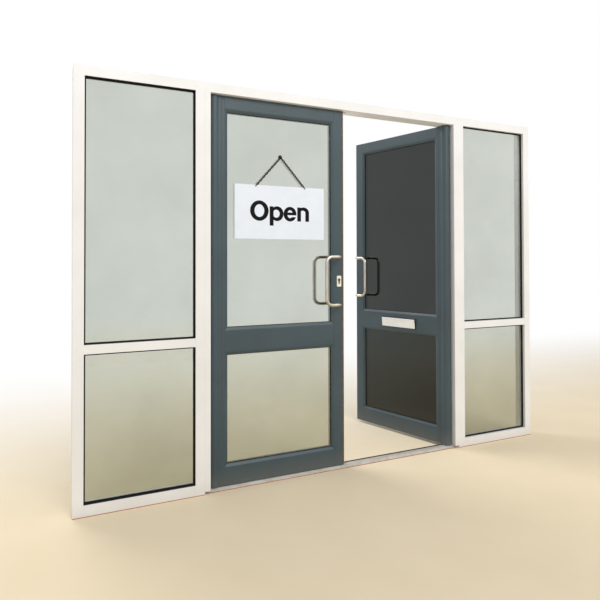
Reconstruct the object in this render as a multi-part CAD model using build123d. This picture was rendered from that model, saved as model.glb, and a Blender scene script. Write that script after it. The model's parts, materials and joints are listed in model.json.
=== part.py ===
from build123d import *
import os
from math import atan2, ceil, cos, degrees, hypot, sin

# Shopfront entrance screen: a pair of double-action glass doors between two glazed sidelights.
# Millimetres. X runs along the facade, -Y is the street side, +Z is up. The origin is the middle
# of the doorway on the threshold's underside. The left leaf is closed, the right leaf stands open.

# Frame, driving sizes
FRAME_DEPTH = 100.0
FRAME_WALL = 2.2
HEAD_UNDERSIDE = 2118.0
HEAD_TALL = 50.0
PIVOT_HALF_SPAN = 790.5
JAMB_FACE_TO_PIVOT = 31.0
DOOR_JAMB_WIDTH = 30.5
MULLION_WIDTH = 50.0
SIDELIGHT_WIDTH = 544.0
JAMB_WIDTH = 50.0
SILL_HEIGHT = 55.0
TRANSOM_BOTTOM = 774.0
TRANSOM_HEIGHT = 45.0

# Sidelight glazing: front leg of each profile, then gasket, glass, gasket and inner bead
LEG_REACH = 14.0
LEG_DEPTH = 20.0
SIDE_GLASS = 6.0
SIDE_GASKET_FRONT = 5.0
SIDE_GASKET_BACK = 4.0
SIDE_EDGE_GAP = 4.0
SIDE_GASKET_SHOW = 8.0
SIDE_GASKET_LIP = 2.0
LEFT_GASKET_LINING = 15.0
RIGHT_GASKET_LINING = 3.0
SIDE_BEAD_DEPTH = 22.0
BEAD_WALL = 1.5

# Threshold
THRESHOLD_DEPTH = 80.0
THRESHOLD_HEIGHT = 14.0
THRESHOLD_NOSE = 5.0
THRESHOLD_TOP_DEPTH = 48.0

# Leaf, driving sizes; u runs from the pivot towards the meeting edge
LEAF_THICK = 45.0
LEAF_WALL = 2.5
LEAF_HEAD_GAP = 3.0
MEETING_GAP = 4.0
NOSE_RADIUS = 30.0
NOSE_GUARD_GAP = 3.0
HINGE_STILE_FACE = 52.0
LOCK_STILE_FACE = 62.0
TOP_RAIL_FACE = 67.0
MID_RAIL_FACE = 112.0
MID_RAIL_CENTRE = 789.5
BOTTOM_RAIL_FACE = 95.0
GROOVE_FROM_PIVOT = 35.0
GROOVE_WIDTH = 3.0
GROOVE_DEEP = 1.2
OPEN_ANGLE = 75.0

# Leaf glazing: inner leg on the profile, gasket, glass, gasket and sloped outer bead
BEAD_REACH = 18.0
BEAD_FLAT = 3.0
BEAD_TIP = 3.0
LEAF_GLASS = 6.0
LEAF_GLASS_FACE = -9.0
LEAF_GASKET_FRONT = 3.0
LEAF_GASKET_BACK = 4.0
LEAF_EDGE_GAP = 8.0
LEAF_GASKET_SHOW = 2.0
LEAF_GASKET_BITE = 12.0
BLOCK_LENGTH = 80.0
BLOCK_INSET = 90.0
MITRE_GAP = 0.2

# Pivots and concealed closers
SHOE_FIT = 0.3
SHOE_LENGTH = 60.0
SPINDLE_RADIUS = 9.0
SPINDLE_LENGTH = 25.0
PIN_RADIUS = 8.0
PIN_FLANGE_RADIUS = 20.0
PIN_FLANGE_THICK = 2.0
PIN_FLANGE_GAP = 2.0
PIN_IN_LEAF = 17.0
PIN_FLOOR_GAP = 2.8
RUNNING_FIT = 0.05
SPINDLE_HOLE_GAP = 3.0
CLOSER_LENGTH = 240.0
CLOSER_DEPTH = 60.0
CLOSER_TOP_GAP = 3.6
CLOSER_END_TO_SPINDLE = 35.0
CLOSER_ROUND = 4.0

# Pull handles: round bar, cranked sideways away from the meeting edge
PULL_RADIUS = 9.5
PULL_CENTRES = 280.0
PULL_MID_HEIGHT = 1106.0
PULL_PROJECTION = 60.0
PULL_OFFSET = 108.0
PULL_BEND = 38.0
PULL_FOOT_FROM_PLATFORM = 27.0
PULL_BOLT_RADIUS = 4.0
PULL_BOLT_BITE = 18.0
PULL_BOLT_FIT = 0.05
PULL_BOLT_HOLE_GAP = 0.5

# Lock in the left leaf, and the keep in the right leaf
LOCK_BACKSET = 31.0
LOCK_BELOW_PULL_MID = 4.0
ESCUTCHEON_WIDTH = 28.0
ESCUTCHEON_TALL = 64.0
ESCUTCHEON_THICK = 6.0
ESCUTCHEON_ROUND = 4.0
CYLINDER_RADIUS = 8.5
CYLINDER_WEB = 10.0
CYLINDER_TALL = 33.0
CYLINDER_PROUD = 4.5
CYLINDER_HOLE_FIT = 0.2
KEYWAY_WIDTH = 2.4
KEYWAY_TALL = 8.0
KEYWAY_DEEP = 5.0
CASE_BEHIND_CYLINDER = 7.0
CASE_THICK = 16.0
CASE_UNDER_BOLT = 14.0
CASE_ABOVE = 54.0
FACEPLATE_WIDTH = 21.6
FACEPLATE_TALL = 210.0
FACEPLATE_FIT = 0.2
BOLT_THICK = 12.0
BOLT_TALL = 24.0
BOLT_TAIL_ROOM = 6.5
BOLT_SET_BACK = 0.5
BOLT_BELOW_MID = 50.0
BOLT_FIT = 0.1
KEEP_TALL = 100.0
KEEP_WINDOW_MARGIN = 1.5
TURN_SPINDLE_RADIUS = 3.0
TURN_SPINDLE_LENGTH = 10.0
TURN_ROSE_RADIUS = 10.0
TURN_ROSE_THICK = 5.0
TURN_GAP = 0.3
TURN_WING_LENGTH = 26.0
TURN_WING_THICK = 5.0
TURN_WING_REACH = 14.0

# Flush bolts and their guides in the right leaf's meeting stile
FLUSH_RADIUS = 5.0
FLUSH_FROM_EDGE = 20.0
FLUSH_TOP_TAIL = 51.0
FLUSH_BOTTOM_TAIL = 60.0
FLUSH_SET_BACK = 1.0
FLUSH_TOP_THROW = 18.0
FLUSH_FLOOR_GAP = 1.8
FLUSH_TAB_FROM_END = 214.0
FLUSH_BOTTOM_TAB_FROM_END = 182.0
FLUSH_TAB_TALL = 12.0
FLUSH_TAB_THICK = 6.0
FLUSH_SLOT_FIT = 1.0
FLUSH_HOLE_GAP = 1.5
GUIDE_LENGTH = 20.0

# Letter plate in the right leaf's mid rail
SLOT_WIDTH = 250.0
SLOT_TALL = 40.0
FLAP_OVER_SLOT_ENDS = 21.0
FLAP_OVER_SLOT_EDGES = 11.0
PLATE_END_RIM = 0.5
PLATE_EDGE_RIM = 4.0
PLATE_CENTRE_FROM_MID_RAIL = -4.0
PLATE_BASE_THICK = 4.0
SLEEVE_WALL = 1.8
SLEEVE_FIT = 0.6
FLAP_THICK = 2.5
FLAP_TOP_OUT = 13.0
FLAP_REST_GAP = 1.75
FLAP_PIN_RADIUS = 2.0
FLAP_EAR_WIDTH = 3.0
FLAP_SIDE_FIT = 0.5

# Meeting-edge brush seal
BRUSH_THICK = 1.5
BRUSH_WIDTH = 5.0
BRUSH_FROM_MIDDLE = 16.5
EDGE_STRIP_WIDTH = 11.0
EDGE_STRIP_THICK = 1.0

# Hanging sign on the left leaf
SIGN_SIDE_GAP = 44.25
SIGN_TALL = 300.0
SIGN_THICK = 3.0
SIGN_OFF_GLASS_MIDDLE = -3.25
SIGN_BELOW_PEG = 166.0
SIGN_STANDOFF = 9.0
SIGN_HOLE_FROM_TOP = 7.0
SIGN_HOLE_FROM_SIDE = 123.0
SIGN_HOLE_RADIUS = 3.0
PEG_BELOW_TOP_RAIL = 237.0
PEG_RADIUS = 2.0
PEG_LENGTH = 16.0
PEG_LIP_RADIUS = 4.0
PEG_LIP_THICK = 2.0
CUP_RADIUS = 12.0
CUP_THICK = 4.0
RING_OUTER = 7.5
RING_WIRE = 2.2
RING_CLEAR = 0.3
LINK_LENGTH = 18.0
LINK_WIDTH = 9.0
LINK_WIRE = 2.2
LINK_SLACK = 0.3

# Wall fixings through the frame, behind the sidelight glass
FIXING_HOLE_RADIUS = 5.25
FIXING_DEPTH_PLACE = 30.0
JAMB_FIXING_LOW = 300.0
JAMB_FIXING_FROM_TOP = 368.0
HEAD_FIXING_SPACING = 320.0

# Worked-out places in the frame
FRONT = -FRAME_DEPTH / 2
BACK = FRAME_DEPTH / 2
FRAME_TOP = HEAD_UNDERSIDE + HEAD_TALL
DOOR_JAMB_FACE = PIVOT_HALF_SPAN + JAMB_FACE_TO_PIVOT
MULLION_INNER = DOOR_JAMB_FACE + DOOR_JAMB_WIDTH
MULLION_OUTER = MULLION_INNER + MULLION_WIDTH
SIDE_OUTER = MULLION_OUTER + SIDELIGHT_WIDTH
FRAME_HALF = SIDE_OUTER + JAMB_WIDTH
MULLION_PLATFORM = MULLION_OUTER - LEG_REACH
JAMB_PLATFORM = SIDE_OUTER + LEG_REACH
TRANSOM_TOP = TRANSOM_BOTTOM + TRANSOM_HEIGHT
SIDE_GLASS_Y = FRONT + LEG_DEPTH + SIDE_GASKET_FRONT
SIDE_BEAD_Y = SIDE_GLASS_Y + SIDE_GLASS + SIDE_GASKET_BACK

# Worked-out places in the leaf
HALF_THICK = LEAF_THICK / 2
MEETING_EDGE = PIVOT_HALF_SPAN - MEETING_GAP / 2
LEAF_TOP = HEAD_UNDERSIDE - LEAF_HEAD_GAP
LEAF_BOTTOM = THRESHOLD_HEIGHT + PIN_FLANGE_THICK + PIN_FLANGE_GAP
HINGE_PLATFORM = HINGE_STILE_FACE
LOCK_PLATFORM = MEETING_EDGE - LOCK_STILE_FACE
LEG_FACE = LEAF_GLASS_FACE + LEAF_GLASS + LEAF_GASKET_BACK
BEAD_BACK = LEAF_GLASS_FACE - LEAF_GASKET_FRONT
BOTTOM_RAIL_TOP = LEAF_BOTTOM + BOTTOM_RAIL_FACE
MID_RAIL_BOTTOM = MID_RAIL_CENTRE - MID_RAIL_FACE / 2
MID_RAIL_TOP = MID_RAIL_CENTRE + MID_RAIL_FACE / 2
TOP_RAIL_BOTTOM = LEAF_TOP - TOP_RAIL_FACE
LOWER_OPENING = (HINGE_PLATFORM, LOCK_PLATFORM, BOTTOM_RAIL_TOP, MID_RAIL_BOTTOM)
UPPER_OPENING = (HINGE_PLATFORM, LOCK_PLATFORM, MID_RAIL_TOP, TOP_RAIL_BOTTOM)
PULL_FOOT_U = LOCK_PLATFORM + PULL_FOOT_FROM_PLATFORM
PULL_BOLT_HOLE = PULL_BOLT_RADIUS + PULL_BOLT_HOLE_GAP

# Worked-out places of the lock and the flush bolts
LOCK_U = MEETING_EDGE - LOCK_BACKSET
LOCK_HEIGHT = PULL_MID_HEIGHT - LOCK_BELOW_PULL_MID
PLUG_HEIGHT = LOCK_HEIGHT + CYLINDER_TALL / 2 - CYLINDER_RADIUS
BOLT_HEIGHT = LOCK_HEIGHT - BOLT_BELOW_MID
CASE_DEPTH = LOCK_BACKSET + CYLINDER_RADIUS + CASE_BEHIND_CYLINDER - LEAF_WALL
CASE_BELOW = BOLT_BELOW_MID + BOLT_TALL / 2 + CASE_UNDER_BOLT
BOLT_LENGTH = CASE_DEPTH + LEAF_WALL - BOLT_SET_BACK - BOLT_TAIL_ROOM
FLUSH_U = MEETING_EDGE - FLUSH_FROM_EDGE
FLUSH_HOLE_RADIUS = FLUSH_RADIUS + FLUSH_HOLE_GAP
FLUSH_BOTTOM_THROW = LEAF_BOTTOM + FLUSH_SET_BACK - FRAME_WALL - FLUSH_FLOOR_GAP

# Worked-out places of the letter plate and the sign
LEAF_MIDDLE_U = (MEETING_EDGE - NOSE_RADIUS) / 2
PLATE_HEIGHT = MID_RAIL_CENTRE + PLATE_CENTRE_FROM_MID_RAIL
FLAP_WIDTH = SLOT_WIDTH + 2 * FLAP_OVER_SLOT_ENDS
FLAP_TALL = SLOT_TALL + 2 * FLAP_OVER_SLOT_EDGES
FLAP_BOTTOM_OUT = PLATE_BASE_THICK + FLAP_REST_GAP + FLAP_THICK / 2
PLATE_WIDTH = FLAP_WIDTH + 2 * (FLAP_SIDE_FIT + FLAP_EAR_WIDTH + PLATE_END_RIM)
PLATE_TALL = FLAP_TALL + 2 * PLATE_EDGE_RIM
GLASS_FROM_U = HINGE_PLATFORM + BEAD_REACH
GLASS_TO_U = LOCK_PLATFORM - BEAD_REACH
SIGN_WIDTH = GLASS_TO_U - GLASS_FROM_U - 2 * SIGN_SIDE_GAP
SIGN_U = (GLASS_FROM_U + GLASS_TO_U) / 2 + SIGN_OFF_GLASS_MIDDLE
PEG_HEIGHT = TOP_RAIL_BOTTOM - PEG_BELOW_TOP_RAIL
SIGN_TOP = PEG_HEIGHT - SIGN_BELOW_PEG
SIGN_HOLE_FROM_MIDDLE = SIGN_WIDTH / 2 - SIGN_HOLE_FROM_SIDE


# Shared shapes

def rect(a0, a1, b0, b1):
    """A flat rectangle between two values along each sketch axis."""
    return Pos((a0 + a1) / 2, (b0 + b1) / 2) * Rectangle(a1 - a0, b1 - b0)


def block(x0, x1, y0, y1, z0, z1):
    """A box between two values along each axis."""
    return Pos((x0 + x1) / 2, (y0 + y1) / 2, (z0 + z1) / 2) * Box(x1 - x0, y1 - y0, z1 - z0)


def rod_z(x, y, z0, z1, radius):
    """A round bar along Z."""
    return Pos(x, y, (z0 + z1) / 2) * Cylinder(radius, z1 - z0)


def rod_y(x, z, y0, y1, radius):
    """A round bar along Y."""
    return Pos(x, (y0 + y1) / 2, z) * Rot(90, 0, 0) * Cylinder(radius, y1 - y0)


def rod_x(y, z, x0, x1, radius):
    """A round bar along X."""
    return Pos((x0 + x1) / 2, y, z) * Rot(0, 90, 0) * Cylinder(radius, x1 - x0)


def hollow(section, wall):
    """The wall of a closed section, with its cavity left open."""
    return section - offset(section, amount=-wall, kind=Kind.INTERSECTION)


def upright(section, z0, z1):
    """A member along Z from a section drawn in X and Y."""
    return extrude(Plane.XY.offset(z0) * section, amount=z1 - z0)


def level(section, x0, x1):
    """A member along X from a section drawn in Y and Z."""
    along_x = Plane(origin=(x0, 0, 0), x_dir=(0, 1, 0), z_dir=(1, 0, 0))
    return extrude(along_x * section, amount=x1 - x0)


def polygon(points):
    """A flat face inside a closed run of straight edges."""
    return make_face(Polyline(*points, close=True))


def in_facade(section, y0, y1):
    """A slab from an outline drawn in X and Z, between two depths."""
    facing_back = Plane(origin=(0, y1, 0), x_dir=(1, 0, 0), z_dir=(0, -1, 0))
    return extrude(facing_back * section, amount=y1 - y0)


def ring(opening, outer_inset, inner_inset, y0, y1):
    """A four-sided frame in the facade plane, inset from an opening's edges."""
    x0, x1, z0, z1 = opening
    outer = rect(x0 + outer_inset, x1 - outer_inset, z0 + outer_inset, z1 - outer_inset)
    inner = rect(x0 + inner_inset, x1 - inner_inset, z0 + inner_inset, z1 - inner_inset)
    return in_facade(outer - inner, y0, y1)


def mitred_bars(opening, section, reach):
    """Four glazing bars round an opening, with mitred ends.

    The section is drawn in depth and in distance inwards from the opening's edge.
    """
    x0, x1, z0, z1 = opening
    g = MITRE_GAP / 2
    outer = [(x0, z0), (x1, z0), (x1, z1), (x0, z1)]
    inner = [(x0 + reach, z0 + reach), (x1 - reach, z0 + reach),
             (x1 - reach, z1 - reach), (x0 + reach, z1 - reach)]
    wide, tall = x1 - x0, z1 - z0
    sides = [
        ((x0, 0, z0), (1, 0, 0), wide, (0, 1), (0, -g)),
        ((x1, 0, z0), (0, 0, 1), tall, (1, 2), (g, 0)),
        ((x1, 0, z1), (-1, 0, 0), wide, (2, 3), (0, g)),
        ((x0, 0, z1), (0, 0, -1), tall, (3, 0), (-g, 0)),
    ]
    bars = []
    for origin, along, length, (a, b), (dx, dz) in sides:
        bar = extrude(Plane(origin=origin, x_dir=(0, 1, 0), z_dir=along) * section, amount=length)
        corners = [outer[a], outer[b], inner[b], inner[a]]
        wedge = polygon([(x + dx, z + dz) for x, z in corners])
        bars.append(bar & in_facade(wedge, FRONT, BACK))
    return bars


def rounded_path(points, radius):
    """A wire through the points, with every corner rounded to one radius."""
    pts = [Vector(*p) for p in points]
    edges = []
    start = pts[0]
    for before, corner, after in zip(pts, pts[1:], pts[2:]):
        back = (before - corner).normalized()
        ahead = (after - corner).normalized()
        leave = corner + back * radius
        join = corner + ahead * radius
        centre = leave + ahead * radius
        middle = centre + (corner - centre).normalized() * radius
        edges.append(Line(start, leave))
        edges.append(ThreePointArc(leave, middle, join))
        start = join
    edges.append(Line(start, pts[-1]))
    return Wire([e if isinstance(e, Edge) else e.edge() for e in edges])


def euro_profile(grow=0.0):
    """Keyhole-shaped outline of a lock cylinder, with its round part at the sketch's origin."""
    foot = CYLINDER_TALL - CYLINDER_RADIUS - CYLINDER_WEB / 2
    web = CYLINDER_WEB / 2 + grow
    return Circle(CYLINDER_RADIUS + grow) + rect(-web, web, -foot, 0) + Pos(0, -foot) * Circle(web)


# Frame

def frame_upright_section(inner, outer, legs):
    """Plan of a vertical frame member: a box with glazing legs at the front on the stated sides."""
    low = inner + (LEG_REACH if "inner" in legs else 0)
    high = outer - (LEG_REACH if "outer" in legs else 0)
    section = rect(low, high, FRONT, BACK) + rect(inner, outer, FRONT, FRONT + LEG_DEPTH)
    return hollow(section, FRAME_WALL)


def frame_level_section(bottom, top, legs):
    """Side section of a horizontal frame member, drawn in depth and height."""
    low = bottom + (LEG_REACH if "bottom" in legs else 0)
    high = top - (LEG_REACH if "top" in legs else 0)
    section = rect(FRONT, BACK, low, high) + rect(FRONT, FRONT + LEG_DEPTH, bottom, top)
    return hollow(section, FRAME_WALL)


def jamb():
    """Outer upright of the right sidelight, drilled for wall anchors."""
    body = upright(frame_upright_section(SIDE_OUTER, FRAME_HALF, ("inner",)), 0, FRAME_TOP)
    for height in (JAMB_FIXING_LOW, FRAME_TOP - JAMB_FIXING_FROM_TOP):
        body -= rod_x(FIXING_DEPTH_PLACE, height, JAMB_PLATFORM - 1, FRAME_HALF + 1, FIXING_HOLE_RADIUS)
    return body


def mullion():
    """Upright between the right sidelight and the doorway."""
    return upright(frame_upright_section(MULLION_INNER, MULLION_OUTER, ("outer",)), 0, FRAME_TOP)


def door_jamb():
    """Pivot-side lining of the doorway, grooved for the leaf's round nose."""
    guard = Pos(PIVOT_HALF_SPAN, 0) * Circle(NOSE_RADIUS + NOSE_GUARD_GAP)
    section = rect(DOOR_JAMB_FACE, MULLION_INNER, FRONT, BACK) - guard
    return upright(hollow(section, FRAME_WALL), THRESHOLD_HEIGHT, HEAD_UNDERSIDE)


def between_sidelight_uprights(section):
    """A horizontal member of the right sidelight, notched round the uprights' glazing legs."""
    bar = level(section, MULLION_PLATFORM, JAMB_PLATFORM)
    leg_front, leg_back = FRONT - 1, FRONT + LEG_DEPTH
    bar -= block(MULLION_PLATFORM - 1, MULLION_OUTER, leg_front, leg_back, -1, FRAME_TOP + 1)
    bar -= block(SIDE_OUTER, JAMB_PLATFORM + 1, leg_front, leg_back, -1, FRAME_TOP + 1)
    return bar


def sidelight_head():
    """Top member of the right sidelight, drilled for anchors into the soffit."""
    body = between_sidelight_uprights(frame_level_section(HEAD_UNDERSIDE, FRAME_TOP, ("bottom",)))
    middle = (MULLION_OUTER + SIDE_OUTER) / 2
    for side in (-1, 1):
        place = middle + side * HEAD_FIXING_SPACING / 2
        body -= rod_z(place, FIXING_DEPTH_PLACE, HEAD_UNDERSIDE, FRAME_TOP + 1, FIXING_HOLE_RADIUS)
    return body


def transom():
    """Middle member of the right sidelight."""
    return between_sidelight_uprights(frame_level_section(TRANSOM_BOTTOM, TRANSOM_TOP, ("bottom", "top")))


def sill():
    """Bottom member of the right sidelight."""
    return between_sidelight_uprights(frame_level_section(0, SILL_HEIGHT, ("top",)))


def door_head():
    """Box over the doorway that holds both closers, pierced for spindles and the top bolt."""
    section = hollow(rect(FRONT, BACK, HEAD_UNDERSIDE, FRAME_TOP), FRAME_WALL)
    body = level(section, -MULLION_INNER, MULLION_INNER)
    wall_bottom, wall_top = HEAD_UNDERSIDE - 1, HEAD_UNDERSIDE + FRAME_WALL + 1
    for side in (-1, 1):
        body -= rod_z(side * PIVOT_HALF_SPAN, 0, wall_bottom, wall_top, SPINDLE_RADIUS + SPINDLE_HOLE_GAP)
    body -= rod_z(PIVOT_HALF_SPAN - FLUSH_U, 0, wall_bottom, wall_top, FLUSH_HOLE_RADIUS)
    return body


def threshold():
    """Ramped hollow threshold between the mullions, with holes for the pins and the bottom bolt."""
    half, flat = THRESHOLD_DEPTH / 2, THRESHOLD_TOP_DEPTH / 2
    outline = [(-half, 0), (half, 0), (half, THRESHOLD_NOSE), (flat, THRESHOLD_HEIGHT),
               (-flat, THRESHOLD_HEIGHT), (-half, THRESHOLD_NOSE)]
    body = level(hollow(polygon(outline), FRAME_WALL), -MULLION_INNER, MULLION_INNER)
    wall_bottom = THRESHOLD_HEIGHT - FRAME_WALL - 1
    for side in (-1, 1):
        body -= rod_z(side * PIVOT_HALF_SPAN, 0, wall_bottom, THRESHOLD_HEIGHT + 1, PIN_RADIUS)
    body -= rod_z(PIVOT_HALF_SPAN - FLUSH_U, 0, wall_bottom, THRESHOLD_HEIGHT + 1, FLUSH_HOLE_RADIUS)
    return body


def bottom_pivot():
    """Right bottom pivot pin: flange on the threshold, spigot below it, pin in the leaf's shoe."""
    flange_top = THRESHOLD_HEIGHT + PIN_FLANGE_THICK
    flange = rod_z(PIVOT_HALF_SPAN, 0, THRESHOLD_HEIGHT, flange_top, PIN_FLANGE_RADIUS)
    foot = FRAME_WALL + PIN_FLOOR_GAP
    stem = rod_z(PIVOT_HALF_SPAN, 0, foot, LEAF_BOTTOM + PIN_IN_LEAF, PIN_RADIUS)
    return flange + stem


def closer():
    """Right concealed closer, resting on the head box's floor, with a socket for the spindle."""
    floor = HEAD_UNDERSIDE + FRAME_WALL
    top = FRAME_TOP - FRAME_WALL - CLOSER_TOP_GAP
    x1 = PIVOT_HALF_SPAN + CLOSER_END_TO_SPINDLE
    body = block(x1 - CLOSER_LENGTH, x1, -CLOSER_DEPTH / 2, CLOSER_DEPTH / 2, floor, top)
    body = fillet(body.edges().filter_by(Axis.X), CLOSER_ROUND)
    socket_top = LEAF_TOP + SPINDLE_LENGTH + SHOE_FIT
    return body - rod_z(PIVOT_HALF_SPAN, 0, floor - 1, socket_top, SPINDLE_RADIUS + RUNNING_FIT)


def sidelight_openings():
    """Platform-to-platform openings of the right sidelight, lower and upper."""
    lower = (MULLION_PLATFORM, JAMB_PLATFORM, SILL_HEIGHT - LEG_REACH, TRANSOM_BOTTOM + LEG_REACH)
    upper = (MULLION_PLATFORM, JAMB_PLATFORM, TRANSOM_TOP - LEG_REACH, HEAD_UNDERSIDE + LEG_REACH)
    return lower, upper


def pane(opening, gap, y0, thick):
    """A glass sheet inside an opening, clear of its edges by the stated gap."""
    x0, x1, z0, z1 = opening
    return block(x0 + gap, x1 - gap, y0, y0 + thick, z0 + gap, z1 - gap)


def setting_blocks(opening, gap, y0, thick):
    """Two blocks under a glass sheet."""
    x0, x1, z0, _ = opening
    return [block(x - BLOCK_LENGTH / 2, x + BLOCK_LENGTH / 2, y0, y0 + thick, z0, z0 + gap)
            for x in (x0 + BLOCK_INSET, x1 - BLOCK_INSET)]


def sidelight_panes():
    """Both glass sheets of the right sidelight."""
    return [pane(o, SIDE_EDGE_GAP, SIDE_GLASS_Y, SIDE_GLASS) for o in sidelight_openings()]


def sidelight_gaskets(lining):
    """Front gasket, inner gasket and setting blocks of both right sidelight panes.

    The front gasket's lip lines the glazing legs' inner edges by the stated depth.
    """
    solids = []
    front_reach = LEG_REACH + SIDE_GASKET_SHOW
    lip_reach = LEG_REACH + SIDE_GASKET_LIP
    leg_back = FRONT + LEG_DEPTH
    for o in sidelight_openings():
        lip = ring(o, LEG_REACH, lip_reach, leg_back - lining, leg_back)
        solids.append(ring(o, SIDE_EDGE_GAP, front_reach, leg_back, SIDE_GLASS_Y) + lip)
        solids.append(ring(o, SIDE_EDGE_GAP, lip_reach, SIDE_GLASS_Y + SIDE_GLASS, SIDE_BEAD_Y))
        solids += setting_blocks(o, SIDE_EDGE_GAP, SIDE_GLASS_Y, SIDE_GLASS)
    return solids


def sidelight_beads():
    """Snap-in inner beads of both right sidelight panes."""
    section = hollow(rect(SIDE_BEAD_Y, SIDE_BEAD_Y + SIDE_BEAD_DEPTH, 0, LEG_REACH), BEAD_WALL)
    return [bar for o in sidelight_openings() for bar in mitred_bars(o, section, LEG_REACH)]


# Leaf, in its own closed place: pivot on the origin, meeting edge towards +X

def hinge_stile():
    """Round-nosed stile with a web beside the pivot and an inner glazing leg."""
    outer = Circle(NOSE_RADIUS) + rect(0, HINGE_PLATFORM, -HALF_THICK, HALF_THICK)
    outer += rect(HINGE_PLATFORM, HINGE_PLATFORM + BEAD_REACH, LEG_FACE, HALF_THICK)
    nose_bore = NOSE_RADIUS - LEAF_WALL
    reach = HINGE_PLATFORM + BEAD_REACH
    cavity = offset(outer, amount=-LEAF_WALL, kind=Kind.INTERSECTION)
    cavity &= rect(nose_bore + LEAF_WALL, reach, -HALF_THICK, HALF_THICK)
    section = outer - Circle(nose_bore) - cavity
    for side in (-1, 1):
        groove_mid = side * (HALF_THICK - GROOVE_DEEP / 2)
        groove = Rectangle(GROOVE_WIDTH, GROOVE_DEEP)
        section -= Pos(GROOVE_FROM_PIVOT + GROOVE_WIDTH / 2, groove_mid) * groove
    return upright(section, LEAF_BOTTOM, LEAF_TOP)


def plain_lock_stile():
    """Square stile at the meeting edge with its pull-handle bolt holes."""
    outer = rect(LOCK_PLATFORM, MEETING_EDGE, -HALF_THICK, HALF_THICK)
    outer += rect(LOCK_PLATFORM - BEAD_REACH, LOCK_PLATFORM, LEG_FACE, HALF_THICK)
    body = upright(hollow(outer, LEAF_WALL), LEAF_BOTTOM, LEAF_TOP)
    for height in pull_heights():
        body -= rod_y(PULL_FOOT_U, height, -HALF_THICK - 1, HALF_THICK + 1, PULL_BOLT_HOLE)
    return body


def left_lock_stile():
    """Lock stile with a slot for the lock's face plate and keyhole-shaped holes in both faces."""
    body = plain_lock_stile() - edge_slot(LOCK_HEIGHT, FACEPLATE_TALL)
    return body - cylinder_hole(-HALF_THICK - 1, HALF_THICK + 1, 2 * CYLINDER_HOLE_FIT)


def right_lock_stile():
    """Lock stile with a slot for the keep and two slots for the flush bolts' tabs."""
    body = plain_lock_stile() - edge_slot(BOLT_HEIGHT, KEEP_TALL)
    half = FLUSH_TAB_THICK / 2 + FLUSH_SLOT_FIT
    for low, high in flush_slot_spans():
        body -= block(MEETING_EDGE - LEAF_WALL - 1, MEETING_EDGE + 1, -half, half, low, high)
    return body


def edge_slot(height, tall):
    """Cutter for a plate let into the meeting edge."""
    half_width = FACEPLATE_WIDTH / 2 + FACEPLATE_FIT
    half_tall = tall / 2 + FACEPLATE_FIT
    return block(MEETING_EDGE - LEAF_WALL - 1, MEETING_EDGE + 1, -half_width, half_width,
                 height - half_tall, height + half_tall)


def cylinder_hole(y0, y1, grow):
    """Cutter or body with the lock cylinder's outline, between two depths."""
    return in_facade(Pos(LOCK_U, PLUG_HEIGHT) * euro_profile(grow), y0, y1)


def leaf_rail(bottom, top, legs):
    """A leaf rail between the stiles, notched round the stiles' glazing legs."""
    section = rect(-HALF_THICK, HALF_THICK, bottom, top)
    low = bottom - (BEAD_REACH if "bottom" in legs else 0)
    high = top + (BEAD_REACH if "top" in legs else 0)
    section += rect(LEG_FACE, HALF_THICK, low, high)
    bar = level(hollow(section, LEAF_WALL), HINGE_PLATFORM, LOCK_PLATFORM)
    for u0, u1 in ((HINGE_PLATFORM - 1, GLASS_FROM_U), (GLASS_TO_U, LOCK_PLATFORM + 1)):
        bar -= block(u0, u1, LEG_FACE, HALF_THICK + 1, low - 1, high + 1)
    return bar


def slotted_mid_rail():
    """Mid rail with a window right through for the letter plate's sleeve."""
    wide, tall = SLOT_WIDTH + 2 * SLEEVE_FIT, SLOT_TALL + 2 * SLEEVE_FIT
    window = letter_box_block(wide, tall, -HALF_THICK - 1, HALF_THICK + 1)
    return leaf_rail(MID_RAIL_BOTTOM, MID_RAIL_TOP, ("bottom", "top")) - window


def leaf_panes():
    """Both glass sheets of a leaf."""
    return [pane(o, LEAF_EDGE_GAP, LEAF_GLASS_FACE, LEAF_GLASS) for o in (LOWER_OPENING, UPPER_OPENING)]


def leaf_gaskets():
    """Outer gasket, inner gasket and setting blocks of both leaf panes."""
    solids = []
    bite = BEAD_REACH - LEAF_GASKET_BITE
    for o in (LOWER_OPENING, UPPER_OPENING):
        solids.append(ring(o, bite, BEAD_REACH + LEAF_GASKET_SHOW, BEAD_BACK, LEAF_GLASS_FACE))
        solids.append(ring(o, bite, BEAD_REACH + LEAF_GASKET_SHOW, LEAF_GLASS_FACE + LEAF_GLASS, LEG_FACE))
        solids += setting_blocks(o, LEAF_EDGE_GAP, LEAF_GLASS_FACE, LEAF_GLASS)
    return solids


def leaf_beads():
    """Sloped outer beads of both leaf panes."""
    outline = polygon([(-HALF_THICK, 0), (-HALF_THICK, BEAD_FLAT), (BEAD_BACK - BEAD_TIP, BEAD_REACH),
                       (BEAD_BACK, BEAD_REACH), (BEAD_BACK, 0)])
    section = hollow(outline, BEAD_WALL)
    return [bar for o in (LOWER_OPENING, UPPER_OPENING) for bar in mitred_bars(o, section, BEAD_REACH)]


def pivot_shoes():
    """Top shoe with the closer's spindle and bottom shoe with the pin's socket, inside the nose."""
    radius = NOSE_RADIUS - LEAF_WALL - SHOE_FIT
    top = rod_z(0, 0, LEAF_TOP - SHOE_LENGTH, LEAF_TOP, radius)
    top += rod_z(0, 0, LEAF_TOP - 1, LEAF_TOP + SPINDLE_LENGTH, SPINDLE_RADIUS)
    bottom = rod_z(0, 0, LEAF_BOTTOM, LEAF_BOTTOM + SHOE_LENGTH, radius)
    bottom -= rod_z(0, 0, LEAF_BOTTOM - 1, LEAF_BOTTOM + PIN_IN_LEAF + SHOE_FIT, PIN_RADIUS + RUNNING_FIT)
    return [top, bottom]


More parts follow.
